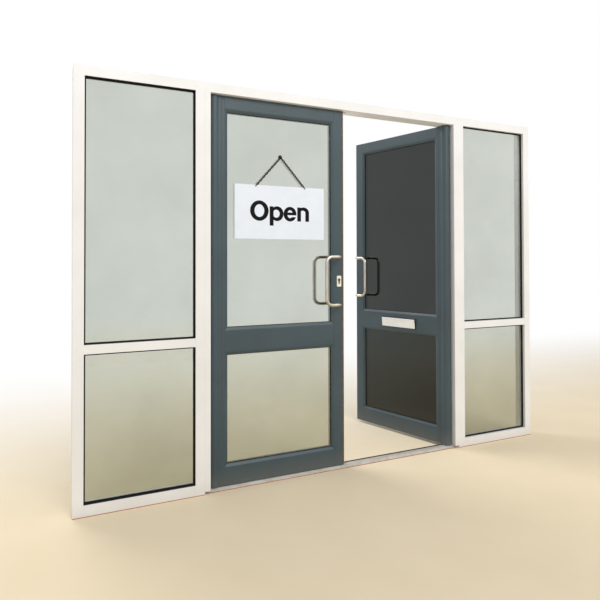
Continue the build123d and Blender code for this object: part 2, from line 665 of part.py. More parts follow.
def meeting_brushes():
    """Two brush strips along the meeting edge."""
    return [block(MEETING_EDGE, MEETING_EDGE + BRUSH_THICK, side * BRUSH_FROM_MIDDLE - BRUSH_WIDTH / 2,
                  side * BRUSH_FROM_MIDDLE + BRUSH_WIDTH / 2, LEAF_BOTTOM, LEAF_TOP) for side in (-1, 1)]


def edge_strip():
    """Flat seal on the street face along the meeting edge, as far out as the brushes."""
    end = MEETING_EDGE + BRUSH_THICK
    return block(end - EDGE_STRIP_WIDTH, end, -HALF_THICK - EDGE_STRIP_THICK, -HALF_THICK,
                 LEAF_BOTTOM, LEAF_TOP)


def pull_heights():
    """Heights of a pull handle's two feet."""
    return (PULL_MID_HEIGHT - PULL_CENTRES / 2, PULL_MID_HEIGHT + PULL_CENTRES / 2)


def outer_pull():
    """Cranked pull handle on the street face, with a blind bolt hole in each foot."""
    foot = PULL_FOOT_U
    low, high = pull_heights()
    face, out = -HALF_THICK, -HALF_THICK - PULL_PROJECTION
    grip = foot - PULL_OFFSET
    path = rounded_path([(foot, face, low), (foot, out, low), (grip, out, low), (grip, out, high),
                         (foot, out, high), (foot, face, high)], PULL_BEND)
    start = Plane(origin=(foot, face, low), z_dir=(0, -1, 0))
    bar = sweep(start * Circle(PULL_RADIUS), path=path)
    for height in (low, high):
        bar -= rod_y(foot, height, face - PULL_BOLT_BITE - 1, face + 1, PULL_BOLT_RADIUS + PULL_BOLT_FIT)
    return bar


def pull_bolts():
    """Through bolts that clamp the two pulls back to back."""
    end = HALF_THICK + PULL_BOLT_BITE
    return [rod_y(PULL_FOOT_U, height, -end, end, PULL_BOLT_RADIUS) for height in pull_heights()]


def lock_case():
    """Mortice lock case with its face plate, a bolt channel and a hole for the cylinder."""
    back = MEETING_EDGE - LEAF_WALL
    half = CASE_THICK / 2
    case = block(back - CASE_DEPTH, back, -half, half, LOCK_HEIGHT - CASE_BELOW, LOCK_HEIGHT + CASE_ABOVE)
    plate = block(back, MEETING_EDGE, -FACEPLATE_WIDTH / 2, FACEPLATE_WIDTH / 2,
                  LOCK_HEIGHT - FACEPLATE_TALL / 2, LOCK_HEIGHT + FACEPLATE_TALL / 2)
    thick, tall = BOLT_THICK / 2 + BOLT_FIT, BOLT_TALL / 2 + BOLT_FIT
    tail = MEETING_EDGE - BOLT_SET_BACK - BOLT_LENGTH - BOLT_FIT
    channel = block(tail, MEETING_EDGE + 1, -thick, thick, BOLT_HEIGHT - tall, BOLT_HEIGHT + tall)
    return case + plate - channel - cylinder_hole(-half - 1, half + 1, CYLINDER_HOLE_FIT)


def lock_bolt():
    """Dead bolt, drawn back in the case."""
    tip = MEETING_EDGE - BOLT_SET_BACK
    thick, tall = BOLT_THICK / 2, BOLT_TALL / 2
    return block(tip - BOLT_LENGTH, tip, -thick, thick, BOLT_HEIGHT - tall, BOLT_HEIGHT + tall)


def lock_cylinder():
    """Profile cylinder with a keyway outside and a spindle socket inside."""
    end = HALF_THICK + CYLINDER_PROUD
    body = cylinder_hole(-end, end, 0)
    body -= block(LOCK_U - KEYWAY_WIDTH / 2, LOCK_U + KEYWAY_WIDTH / 2, -end - 1, -end + KEYWAY_DEEP,
                  PLUG_HEIGHT - KEYWAY_TALL / 2, PLUG_HEIGHT + KEYWAY_TALL / 2)
    socket = TURN_SPINDLE_RADIUS + RUNNING_FIT
    return body - rod_y(LOCK_U, PLUG_HEIGHT, end - TURN_SPINDLE_LENGTH - 1, end + 1, socket)


def escutcheons():
    """Plates round the cylinder on both faces."""
    plate = RectangleRounded(ESCUTCHEON_WIDTH, ESCUTCHEON_TALL, ESCUTCHEON_ROUND)
    outline = Pos(LOCK_U, LOCK_HEIGHT) * plate
    far = HALF_THICK + ESCUTCHEON_THICK
    hole = cylinder_hole(-far - 1, far + 1, CYLINDER_HOLE_FIT)
    return [in_facade(outline, -far, -HALF_THICK) - hole, in_facade(outline, HALF_THICK, far) - hole]


def thumb_turn():
    """Inside turn: spindle in the cylinder, round rose and a flat wing."""
    seat = HALF_THICK + ESCUTCHEON_THICK + TURN_GAP
    face = seat + TURN_ROSE_THICK
    end = HALF_THICK + CYLINDER_PROUD
    turn = rod_y(LOCK_U, PLUG_HEIGHT, seat, face, TURN_ROSE_RADIUS)
    turn += rod_y(LOCK_U, PLUG_HEIGHT, end - TURN_SPINDLE_LENGTH, seat + 1, TURN_SPINDLE_RADIUS)
    wing = in_facade(Pos(LOCK_U, PLUG_HEIGHT) * SlotOverall(TURN_WING_LENGTH, TURN_WING_THICK, rotation=90),
                     face, face + TURN_WING_REACH)
    return turn + wing


def keep_and_guides():
    """Keep plate for the lock bolt, and the blocks that guide the flush bolts."""
    back = MEETING_EDGE - LEAF_WALL
    keep = block(back, MEETING_EDGE, -FACEPLATE_WIDTH / 2, FACEPLATE_WIDTH / 2,
                 BOLT_HEIGHT - KEEP_TALL / 2, BOLT_HEIGHT + KEEP_TALL / 2)
    thick, tall = BOLT_THICK / 2 + KEEP_WINDOW_MARGIN, BOLT_TALL / 2 + KEEP_WINDOW_MARGIN
    keep -= block(back - 1, MEETING_EDGE + 1, -thick, thick, BOLT_HEIGHT - tall, BOLT_HEIGHT + tall)
    solids = [keep]
    half = HALF_THICK - LEAF_WALL - SHOE_FIT
    low_u = LOCK_PLATFORM + LEAF_WALL + SHOE_FIT
    for z0, z1 in ((LEAF_TOP - GUIDE_LENGTH, LEAF_TOP), (LEAF_BOTTOM, LEAF_BOTTOM + GUIDE_LENGTH)):
        guide = block(low_u, back - SHOE_FIT, -half, half, z0, z1)
        solids.append(guide - rod_z(FLUSH_U, 0, z0 - 1, z1 + 1, FLUSH_RADIUS + RUNNING_FIT))
    return solids


def flush_slot_spans():
    """Low and high ends of the slots that the flush bolts' tabs travel in."""
    half = FLUSH_TAB_TALL / 2 + FLUSH_SLOT_FIT
    top_tab, bottom_tab = flush_tab_heights()
    top_span = (top_tab - half, top_tab + FLUSH_TOP_THROW + half)
    bottom_span = (bottom_tab - FLUSH_BOTTOM_THROW - half, bottom_tab + half)
    return top_span, bottom_span


def flush_tab_heights():
    """Heights of the two tabs with the bolts drawn back."""
    return LEAF_TOP - FLUSH_TAB_FROM_END, LEAF_BOTTOM + FLUSH_BOTTOM_TAB_FROM_END


def flush_bolt(z0, z1, tab_height):
    """A flush bolt: round rod with a finger tab towards the meeting edge."""
    half = FLUSH_TAB_TALL / 2
    tab = block(FLUSH_U, MEETING_EDGE - FLUSH_SLOT_FIT, -FLUSH_TAB_THICK / 2, FLUSH_TAB_THICK / 2,
                tab_height - half, tab_height + half)
    return rod_z(FLUSH_U, 0, z0, z1, FLUSH_RADIUS) + tab


def top_flush_bolt():
    """Top flush bolt, drawn back into the stile."""
    tab = flush_tab_heights()[0]
    return flush_bolt(tab - FLUSH_TOP_TAIL, LEAF_TOP - FLUSH_SET_BACK, tab)


def bottom_flush_bolt():
    """Bottom flush bolt, drawn back into the stile."""
    tab = flush_tab_heights()[1]
    return flush_bolt(LEAF_BOTTOM + FLUSH_SET_BACK, tab + FLUSH_BOTTOM_TAIL, tab)


def letter_box_block(width, tall, y0, y1):
    """A box centred on the letter plate."""
    return block(LEAF_MIDDLE_U - width / 2, LEAF_MIDDLE_U + width / 2, y0, y1,
                 PLATE_HEIGHT - tall / 2, PLATE_HEIGHT + tall / 2)


def flap_axis():
    """Depth and height of the letter flap's pivot line."""
    depth = -HALF_THICK - FLAP_TOP_OUT + FLAP_THICK / 2
    return depth, PLATE_HEIGHT + FLAP_TALL / 2 - FLAP_PIN_RADIUS - FLAP_THICK


def letter_plate():
    """Letter plate: outer base with ears and a sleeve through the rail, and an inner ring."""
    face = -HALF_THICK
    wide, tall = SLOT_WIDTH - 2 * SLEEVE_WALL, SLOT_TALL - 2 * SLEEVE_WALL
    base = letter_box_block(PLATE_WIDTH, PLATE_TALL, face - PLATE_BASE_THICK, face)
    base += letter_box_block(SLOT_WIDTH, SLOT_TALL, face - 1, HALF_THICK)
    base -= letter_box_block(wide, tall, face - PLATE_BASE_THICK - 1, HALF_THICK + 1)
    pin_y, pin_z = flap_axis()
    ear_half = FLAP_PIN_RADIUS + FLAP_THICK
    for side in (-1, 1):
        near = LEAF_MIDDLE_U + side * (FLAP_WIDTH / 2 + FLAP_SIDE_FIT)
        far = near + side * FLAP_EAR_WIDTH
        u0, u1 = min(near, far), max(near, far)
        base += block(u0, u1, pin_y - ear_half, face, pin_z - ear_half, pin_z + ear_half)
        base -= rod_x(pin_y, pin_z, u0 - 1, u1 + 1, FLAP_PIN_RADIUS + RUNNING_FIT)
    inner = letter_box_block(PLATE_WIDTH, PLATE_TALL, HALF_THICK, HALF_THICK + PLATE_BASE_THICK)
    inner -= letter_box_block(wide, tall, HALF_THICK - 1, HALF_THICK + PLATE_BASE_THICK + 1)
    return [base, inner]


def letter_flap():
    """Sloping outer flap, thicker round its pivot pins at the top."""
    pin_y, pin_z = flap_axis()
    top = pin_z + FLAP_PIN_RADIUS + FLAP_THICK
    bottom = top - FLAP_TALL
    toe = -HALF_THICK - FLAP_BOTTOM_OUT
    outline = polygon([(pin_y - FLAP_THICK / 2, top), (pin_y + FLAP_THICK / 2, top),
                       (toe + FLAP_THICK / 2, bottom), (toe - FLAP_THICK / 2, bottom)])
    outline += Pos(pin_y, pin_z) * Circle(FLAP_PIN_RADIUS + FLAP_THICK / 2)
    u0, u1 = LEAF_MIDDLE_U - FLAP_WIDTH / 2, LEAF_MIDDLE_U + FLAP_WIDTH / 2
    reach = FLAP_SIDE_FIT + FLAP_EAR_WIDTH
    return level(outline, u0, u1) + rod_x(pin_y, pin_z, u0 - reach, u1 + reach, FLAP_PIN_RADIUS)


# Hanging sign on the left leaf

def sign_depth():
    """Depth of the middle of the board and chain, in front of the glass."""
    return LEAF_GLASS_FACE - SIGN_STANDOFF


def sign_hook():
    """Suction cup on the glass with a lipped peg."""
    face = LEAF_GLASS_FACE
    end = face - PEG_LENGTH
    cup = rod_y(SIGN_U, PEG_HEIGHT, face - CUP_THICK, face, CUP_RADIUS)
    cup = chamfer(cup.faces().sort_by(Axis.Y)[0].edges(), CUP_THICK / 2)
    cup += rod_y(SIGN_U, PEG_HEIGHT, end, face - 1, PEG_RADIUS)
    return cup + rod_y(SIGN_U, PEG_HEIGHT, end - PEG_LIP_THICK, end, PEG_LIP_RADIUS)


def sign_board():
    """Flat board with two holes for the chain."""
    y, hole_height = sign_depth(), SIGN_TOP - SIGN_HOLE_FROM_TOP
    board = block(SIGN_U - SIGN_WIDTH / 2, SIGN_U + SIGN_WIDTH / 2, y - SIGN_THICK / 2, y + SIGN_THICK / 2,
                  SIGN_TOP - SIGN_TALL, SIGN_TOP)
    for side in (-1, 1):
        hole_u = SIGN_U + side * SIGN_HOLE_FROM_MIDDLE
        board -= rod_y(hole_u, hole_height, y - SIGN_THICK, y + SIGN_THICK, SIGN_HOLE_RADIUS)
    return board


def chain_link():
    """One flat link along X, lying in X and Y."""
    outer = SlotOverall(LINK_LENGTH, LINK_WIDTH)
    inner = SlotOverall(LINK_LENGTH - 2 * LINK_WIRE, LINK_WIDTH - 2 * LINK_WIRE)
    return extrude(outer - inner, amount=LINK_WIRE / 2, both=True)


def sign_chain():
    """A ring on the peg and two runs of links from it down to the board's holes."""
    u, y = SIGN_U, sign_depth()
    ring_inner = RING_OUTER - RING_WIRE
    ring_z = PEG_HEIGHT + PEG_RADIUS + RING_CLEAR - ring_inner
    solids = [rod_y(u, ring_z, y - RING_WIRE / 2, y + RING_WIRE / 2, RING_OUTER)
              - rod_y(u, ring_z, y - RING_WIRE, y + RING_WIRE, ring_inner)]
    hole_x, hole_z = SIGN_HOLE_FROM_MIDDLE, SIGN_TOP - SIGN_HOLE_FROM_TOP
    run = hypot(hole_x, ring_z - hole_z)
    along = atan2(ring_z - hole_z, hole_x)
    end_radius = LINK_WIDTH / 2 - LINK_WIRE
    end_bulge = end_radius - (end_radius ** 2 - (SIGN_THICK / 2) ** 2) ** 0.5
    first = SIGN_HOLE_RADIUS - LINK_SLACK - end_bulge - LINK_WIRE + LINK_LENGTH / 2
    last = run - (RING_OUTER - RING_WIRE / 2) - LINK_LENGTH / 2 + LINK_WIRE * 1.5
    count = link_count(last - first)
    for side in (-1, 1):
        for k in range(count):
            s = first + (last - first) * k / (count - 1)
            place = Pos(u + side * (hole_x - s * cos(along)), y, hole_z + s * sin(along))
            lean = Rot(0, 0, 0) if k % 2 == 0 else Rot(90, 0, 0)
            solids.append(place * Rot(0, side * degrees(along), 0) * lean * chain_link())
    return solids


def link_count(span):
    """An odd number of links, so that the end links stand across the board and the ring alike."""
    pitch = LINK_LENGTH - 2 * LINK_WIRE - LINK_SLACK
    steps = 2 * ceil(span / pitch / 2)
    return steps + 1


# Assembly

def solids_of(shape):
    """A node's separate solids."""
    shapes = shape if isinstance(shape, list) else [shape]
    return [solid for s in shapes for solid in s.solids()]


def mirrored(shape):
    """A node's solids reflected to the other side of the doorway."""
    return [mirror(solid, about=Plane.YZ) for solid in solids_of(shape)]


def common_leaf_nodes():
    """Nodes that both leaves share, without the side's name."""
    pull = outer_pull()
    return {
        "hinge_stile": hinge_stile(),
        "top_rail": leaf_rail(TOP_RAIL_BOTTOM, LEAF_TOP, ("bottom",)),
        "bottom_rail": leaf_rail(LEAF_BOTTOM, BOTTOM_RAIL_TOP, ("top",)),
        "leaf_panes": leaf_panes(),
        "leaf_gaskets": leaf_gaskets(),
        "leaf_beads": leaf_beads(),
        "pivot_shoes": pivot_shoes(),
        "meeting_brushes": meeting_brushes(),
        "outer_pull": pull,
        "inner_pull": mirror(pull, about=Plane.XZ),
        "pull_bolts": pull_bolts(),
    }


def left_leaf_nodes(common):
    """The left leaf, closed."""
    nodes = {f"left_{name}": shape for name, shape in common.items()}
    nodes["left_meeting_brushes"] = common["meeting_brushes"] + [edge_strip()]
    nodes["left_lock_stile"] = left_lock_stile()
    nodes["left_mid_rail"] = leaf_rail(MID_RAIL_BOTTOM, MID_RAIL_TOP, ("bottom", "top"))
    nodes["lock_case"] = lock_case()
    nodes["lock_cylinder"] = lock_cylinder()
    nodes["lock_escutcheons"] = escutcheons()
    nodes["lock_bolt"] = lock_bolt()
    nodes["thumb_turn"] = thumb_turn()
    nodes["sign_hook"] = sign_hook()
    nodes["sign_board"] = sign_board()
    nodes["sign_chain"] = sign_chain()
    place = Pos(-PIVOT_HALF_SPAN, 0, 0)
    return {name: [place * solid for solid in solids_of(shape)] for name, shape in nodes.items()}


def right_leaf_nodes(common):
    """The right leaf, mirrored and turned open into the building."""
    nodes = {f"right_{name}": shape for name, shape in common.items()}
    nodes["right_lock_stile"] = right_lock_stile()
    nodes["right_mid_rail"] = slotted_mid_rail()
    nodes["lock_keep_and_guides"] = keep_and_guides()
    nodes["top_flush_bolt"] = top_flush_bolt()
    nodes["bottom_flush_bolt"] = bottom_flush_bolt()
    nodes["letter_plate"] = letter_plate()
    nodes["letter_flap"] = letter_flap()
    place = Pos(PIVOT_HALF_SPAN, 0, 0) * Rot(0, 0, -OPEN_ANGLE)
    return {name: [place * solid for solid in mirrored(shape)] for name, shape in nodes.items()}


def frame_nodes():
    """The fixed frame: handed members are built on the right and mirrored to the left."""
    handed = {
        "jamb": jamb(),
        "mullion": mullion(),
        "door_jamb": door_jamb(),
        "sidelight_head": sidelight_head(),
        "transom": transom(),
        "sill": sill(),
        "sidelight_panes": sidelight_panes(),
    }
    nodes = {}
    for name, shape in handed.items():
        nodes[f"right_{name}"] = solids_of(shape)
        nodes[f"left_{name}"] = mirrored(shape)
    both = {
        "sidelight_beads": sidelight_beads(),
        "closers": closer(),
        "bottom_pivots": bottom_pivot(),
    }
    for name, shape in both.items():
        nodes[name] = solids_of(shape) + mirrored(shape)
    right_gaskets, left_gaskets = sidelight_gaskets(RIGHT_GASKET_LINING), sidelight_gaskets(LEFT_GASKET_LINING)
    nodes["sidelight_gaskets"] = solids_of(right_gaskets) + mirrored(left_gaskets)
    nodes["door_head"] = solids_of(door_head())
    nodes["threshold"] = solids_of(threshold())
    return nodes


def main():
    """Build every node and write its file."""
    os.makedirs("parts", exist_ok=True)
    common = common_leaf_nodes()
    nodes = {**frame_nodes(), **left_leaf_nodes(common), **right_leaf_nodes(common)}
    for name, solids in nodes.items():
        shape = solids[0] if len(solids) == 1 else Compound(children=solids)
        export_step(shape, f"parts/{name}.step")
    print(len(nodes), "nodes")


main()
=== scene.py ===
"""Looks of a glazed shopfront entrance screen: finishes, small hardware, studio and camera.

The frame, leaves and hardware come packed from the CAD model and keep their shapes. This script
gives them their finishes and softened edges, and adds what is too fine for the solids: round
chain wire, eyelets, screw heads, the lock's plug, the sign's word, the sealant along the foot and
the seal on the threshold. Sizes are in millimetres in the row frame, and the studio's in metres.
"""

import json
import logging
import math
from dataclasses import dataclass, field
from enum import Enum

import bmesh
import bpy
from mathutils import Matrix, Vector


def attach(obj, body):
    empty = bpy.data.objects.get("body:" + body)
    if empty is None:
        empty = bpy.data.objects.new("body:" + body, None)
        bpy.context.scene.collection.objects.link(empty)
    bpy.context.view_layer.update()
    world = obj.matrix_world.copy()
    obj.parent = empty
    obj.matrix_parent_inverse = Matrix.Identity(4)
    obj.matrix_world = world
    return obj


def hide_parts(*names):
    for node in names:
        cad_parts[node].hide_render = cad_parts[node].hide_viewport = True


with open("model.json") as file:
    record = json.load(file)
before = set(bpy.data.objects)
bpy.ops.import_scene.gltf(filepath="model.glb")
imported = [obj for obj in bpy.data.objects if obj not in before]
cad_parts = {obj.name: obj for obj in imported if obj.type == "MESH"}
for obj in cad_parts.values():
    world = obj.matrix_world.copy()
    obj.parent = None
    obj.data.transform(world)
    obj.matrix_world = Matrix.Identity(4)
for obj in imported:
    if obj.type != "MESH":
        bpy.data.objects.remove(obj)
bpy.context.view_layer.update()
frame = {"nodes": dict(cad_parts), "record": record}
NODES_OF_BODY = frame["record"]["behaviour"]["bodies"]

Shape = bmesh.types.BMesh
Tree = bpy.types.NodeTree
Socket = bpy.types.NodeSocket
Span = tuple[float, float]
Point = tuple[float, float, float]

LOG = logging.getLogger("entrance_screen")

MM = 0.001
METRES = Matrix.Scale(MM, 4)
FACING_STREET = Matrix.Rotation(math.radians(90), 4, "X")
FACING_EDGE = Matrix.Rotation(math.radians(90), 4, "Y")
ALONG_X = Vector((1, 0, 0))
ALONG_Y = Vector((0, 1, 0))

# Places that more than one sub-assembly uses
PIVOT_HALF_SPAN = 790.5
BOARD_FACE = -19.5

# Edges and normals, with angles in degrees. The weight is 50 if neutral, 100 if large faces lead
PANE_ARRIS = 1.0
WELD_REACH = 0.01
PIECE_WELD_REACH = 0.001
FLAT_ANGLE = 0.5
EDGE_ANGLE = 40.0
SMOOTH_ANGLE = 35.0
LARGE_FACE_WEIGHT = 100

# A finish's two noises, and the stretches of its patches over which it changes
PATCH_NOISE = {"Detail": 4.0, "Roughness": 0.55}
GRAIN_NOISE = {"Scale": 1.0, "Detail": 2.0, "Roughness": 0.5}
WEAR_STRETCH = {"From Min": 0.3, "From Max": 0.7}
TINT_STRETCH = {"From Min": 0.35, "From Max": 0.65}


# Colour and node helpers

def linear(hex_colour: str) -> tuple[float, float, float, float]:
    """Turn an sRGB colour into the linear one that shader sockets take.

    Args:
        hex_colour: colour written as a hash and six hex digits.

    Returns:
        Linear red, green, blue and a full alpha.
    """
    channels = [int(hex_colour[i:i + 2], 16) / 255 for i in (1, 3, 5)]
    red, green, blue = [c / 12.92 if c <= 0.04045 else ((c + 0.055) / 1.055) ** 2.4 for c in channels]
    return red, green, blue, 1.0


def add_node(
    tree: Tree,
    kind: str,
    settings: dict[str, object] | None = None,
    links: dict[str, Socket] | None = None,
) -> bpy.types.Node:
    """Add one node with its settings and links.

    Args:
        tree: node tree that takes the node.
        kind: Blender's name for the type of node.
        settings: values by identifier of an input socket, or else by name of the node's own option.
        links: output sockets by identifier of the input socket that they feed.

    Returns:
        The new node.
    """
    node = tree.nodes.new(kind)
    for name, value in (settings or {}).items():
        sockets = {socket.identifier: socket for socket in node.inputs}
        if name in sockets:
            sockets[name].default_value = value
        else:
            setattr(node, name, value)
    sockets = {socket.identifier: socket for socket in node.inputs}
    for name, source in (links or {}).items():
        tree.links.new(source, sockets[name])
    return node


def empty_tree(owner: bpy.types.Material | bpy.types.World) -> Tree:
    """Switch on the nodes of a material or a world and clear them.

    Args:
        owner: the material or world.

    Returns:
        Its empty node tree.
    """
    owner.use_nodes = True
    owner.node_tree.nodes.clear()
    return owner.node_tree


# Finishes

@dataclass(frozen=True)
class Finish:
    """An opaque finish: two close colours in soft patches, a roughness range and a fine relief.

    The grain is the relief's size along X, Y and Z, so that one long size gives drawn or brushed
    lines along that axis. The gloss is the shader's specular level: 0.5 is a closed, shiny skin
    and 0.1 an open, matt one. The foot is dust that has settled near the floor.
    """

    name: str
    colour: str
    patch_colour: str
    patch: float
    roughness: Span
    grain: Point
    relief: float
    metallic: float = 0.0
    ior: float = 1.5
    gloss: float = 0.5
    foot_colour: str = ""
    foot_height: float = 0.0
    foot_share: float = 0.0

    def optics(self) -> dict[str, object]:
        """Shader values that are the same all over the surface."""
        return {"Metallic": self.metallic, "IOR": self.ior, "Specular IOR Level": self.gloss}

    def material(self) -> bpy.types.Material:
        """Build the finish as a node material.

        Returns:
            The material.
        """
        material = bpy.data.materials.new(self.name)
        tree = empty_tree(material)
        place = add_node(tree, "ShaderNodeTexCoord").outputs["Object"]
        patches = add_node(
            tree, "ShaderNodeTexNoise", {**PATCH_NOISE, "Scale": 1 / (self.patch * MM)}, {"Vector": place},
        ).outputs["Fac"]
        scale = Vector([1 / (size * MM) for size in self.grain])
        scaled = add_node(tree, "ShaderNodeMapping", {"Scale": scale}, {"Vector": place}).outputs["Vector"]
        grain = add_node(tree, "ShaderNodeTexNoise", GRAIN_NOISE, {"Vector": scaled}).outputs["Fac"]
        low, high = self.roughness
        worn = add_node(
            tree, "ShaderNodeMapRange", {**WEAR_STRETCH, "To Min": low, "To Max": high}, {"Value": patches},
        ).outputs["Result"]
        bump = add_node(
            tree, "ShaderNodeBump", {"Strength": 1.0, "Distance": self.relief * MM}, {"Height": grain},
        ).outputs["Normal"]
        colour = self.surface_colour(tree, place, patches, grain)
        shader = add_node(
            tree, "ShaderNodeBsdfPrincipled", self.optics(),
            {"Base Color": colour, "Roughness": worn, "Normal": bump},
        )
        add_node(tree, "ShaderNodeOutputMaterial", {}, {"Surface": shader.outputs["BSDF"]})
        return material

    def surface_colour(self, tree: Tree, place: Socket, patches: Socket, grain: Socket) -> Socket:
        """Blend the finish's colours, with its foot if it has one.

        Args:
            tree: node tree that takes the nodes.
            place: object coordinates.
            patches: soft patches, from 0 to 1.
            grain: fine relief, from 0 to 1.

        Returns:
            The output that gives the colour.
        """
        share = add_node(tree, "ShaderNodeMapRange", TINT_STRETCH, {"Value": patches}).outputs["Result"]
        colour = add_node(
            tree, "ShaderNodeMix",
            {"data_type": "RGBA", "A_Color": linear(self.colour), "B_Color": linear(self.patch_colour)},
            {"Factor_Float": share},
        ).outputs[2]
        if not self.foot_colour:
            return colour
        height = add_node(tree, "ShaderNodeSeparateXYZ", {}, {"Vector": place}).outputs["Z"]
        low = add_node(
            tree, "ShaderNodeMapRange",
            {"From Max": self.foot_height * MM, "To Min": self.foot_share, "To Max": 0.0},
            {"Value": height},
        ).outputs["Result"]
        dust = add_node(
            tree, "ShaderNodeMath", {"operation": "MULTIPLY_ADD"},
            {"Value": low, "Value_001": grain, "Value_002": low},
        ).outputs[0]
        return add_node(
            tree, "ShaderNodeMix", {"data_type": "RGBA", "B_Color": linear(self.foot_colour)},
            {"Factor_Float": dust, "A_Color": colour},
        ).outputs[2]


@dataclass(frozen=True)
class Glass(Finish):
    """Float glass: a clear body tint, a film of dust in its roughness and a slow wave in its faces.

    The coat is a thin metal-oxide layer that makes the pane reflect more than plain glass does.
    """

    patch: float = 420.0
    roughness: Span = (0.0, 0.03)
    grain: Point = (240.0, 240.0, 240.0)
    relief: float = 0.005
    ior: float = 1.52
    coat: float = 0.0
    coat_ior: float = 2.0

    def optics(self) -> dict[str, object]:
        """Shader values of a body that lets light through, and of its coat."""
        coat = {"Coat Weight": self.coat, "Coat IOR": self.coat_ior, "Coat Roughness": 0.0}
        return {**super().optics(), "Transmission Weight": 1.0, **coat}


# Polyester powder coat, baked on: a satin skin with a fine orange peel, chalky dust at its foot
WHITE_COAT = Finish(
    name="polyester_powder_coat_white", colour="#EFEFF0", patch_colour="#E9E9E9", patch=260.0,
    roughness=(0.34, 0.46), grain=(2.2, 2.2, 2.2), relief=0.02,
    foot_colour="#BDB4A6", foot_height=80.0, foot_share=0.14,
)
# The same powder coat in slate: darker, so the peel shows as a soft break in the highlights
SLATE_COAT = Finish(
    name="polyester_powder_coat_slate", colour="#3D4E56", patch_colour="#37474E", patch=320.0,
    roughness=(0.36, 0.48), grain=(2.2, 2.2, 2.2), relief=0.02,
    foot_colour="#7C776C", foot_height=110.0, foot_share=0.22,
)
# Mill-finish extruded aluminium: drawn lines along its length and grey scuffs underfoot
MILL_ALUMINIUM = Finish(
    name="mill_aluminium_extruded", colour="#D6D2C9", patch_colour="#C1BCB1", patch=70.0,
    roughness=(0.5, 0.65), grain=(90.0, 1.2, 1.2), relief=0.03, metallic=0.55,
)
# EPDM rubber, extruded: near black, dull, with a faint bloom
EPDM = Finish(
    name="epdm_rubber_extruded", colour="#151617", patch_colour="#1F2021", patch=60.0,
    roughness=(0.55, 0.7), grain=(1.0, 1.0, 1.0), relief=0.01, gloss=0.2,
)
# Clear float glass, lightly reflective: a faint green-grey body and a thin film of street dust
CLEAR_FLOAT = Glass(name="float_glass_clear", colour="#C3C9BF", patch_colour="#B9BFB5", coat=1.0)
# Float glass for the standing-open leaf, with a near-black grey-green body: a painted dark reflection of
# the interior that the leaf faces
FLOAT_PAINTED_DARK_REFLECTION = Glass(name="float_glass_painted_dark_reflection", colour="#19211C", patch_colour="#141B17")
# Stainless steel tube, satin brushed: warm grey with soft lines
SATIN_STAINLESS = Finish(
    name="stainless_steel_satin_brushed", colour="#CFC7BB", patch_colour="#C0B7AA", patch=45.0,
    roughness=(0.26, 0.38), grain=(0.8, 0.8, 30.0), relief=0.01, metallic=1.0,
)
# Bright zinc plate on steel: cool grey, slightly cloudy
ZINC_PLATE = Finish(
    name="zinc_plated_steel", colour="#B4B6B8", patch_colour="#9FA19F", patch=18.0,
    roughness=(0.3, 0.48), grain=(1.5, 1.5, 1.5), relief=0.01, metallic=1.0,
)
# Grey hammered paint on the closer's cast body
CASTING_PAINT = Finish(
    name="cast_iron_painted_grey", colour="#5A5C5E", patch_colour="#505254", patch=30.0,
    roughness=(0.4, 0.55), grain=(3.0, 3.0, 3.0), relief=0.08,
)
# Nickel plate on brass: warm white metal with a satin face
SATIN_NICKEL = Finish(
    name="nickel_plate_satin", colour="#C9C1B0", patch_colour="#BAB19F", patch=12.0,
    roughness=(0.22, 0.34), grain=(0.6, 0.6, 6.0), relief=0.006, metallic=1.0,
)
# Nickel plate with a broken sheen. Its dark warm grey is painted shade and painted dark reflection of the
# cylinder's recess at the keyway
NICKEL_PAINTED_SHADE = Finish(
    name="nickel_plate_painted_shade", colour="#57524A", patch_colour="#433F39", patch=8.0,
    roughness=(0.3, 0.5), grain=(0.6, 0.6, 4.0), relief=0.01, metallic=1.0,
)
# Cream powder coat on the cylinder's plates: a warm pale skin, smoother than the frame's
CREAM_COAT = Finish(
    name="powder_coat_cream", colour="#F1F1E6", patch_colour="#E9E9DC", patch=20.0,
    roughness=(0.34, 0.44), grain=(1.6, 1.6, 1.6), relief=0.012,
)
# Polypropylene pile: the tufts are about 0.3 mm, drawn at 0.8 mm so that they show
PILE = Finish(
    name="polypropylene_pile", colour="#6E6253", patch_colour="#57493C", patch=9.0,
    roughness=(0.8, 0.95), grain=(3.0, 3.0, 0.8), relief=0.3,
)
# Glass-filled nylon, moulded black: satin with a fine spark grain
BLACK_NYLON = Finish(
    name="nylon_moulded_black", colour="#17181A", patch_colour="#1E1F21", patch=15.0,
    roughness=(0.38, 0.5), grain=(0.9, 0.9, 0.9), relief=0.012,
)
# White powder coat on the letter flap, painted lighter than the frame's: painted light that lifts the
# flap's face where it turns away from the lamps
FLAP_COAT_PAINTED_LIGHT = Finish(
    name="powder_coat_white_flap_painted_light", colour="#F8F9F8", patch_colour="#F1F2F0", patch=80.0,
    roughness=(0.32, 0.42), grain=(1.8, 1.8, 1.8), relief=0.014,
)
# Expanded PVC sheet: cold white, smooth skin with a very faint cell pattern
PVC_SHEET = Finish(
    name="pvc_foam_sheet_white", colour="#E6EEFA", patch_colour="#E1E9F5", patch=120.0,
    roughness=(0.36, 0.46), grain=(1.4, 1.4, 1.4), relief=0.008,
)
# Black enamelled steel wire of the chain: dark with a dull sheen
BLACK_ENAMEL = Finish(
    name="enamelled_steel_black", colour="#0D0D0E", patch_colour="#151414", patch=6.0,
    roughness=(0.4, 0.55), grain=(0.8, 0.8, 0.8), relief=0.008, gloss=0.15,
)
# Silicone sealant, tooled by hand: matt terracotta, slightly uneven
TERRACOTTA_SEALANT = Finish(
    name="silicone_sealant_terracotta", colour="#B4735A", patch_colour="#A5644C", patch=35.0,
    roughness=(0.5, 0.65), grain=(14.0, 3.0, 3.0), relief=0.2,
)
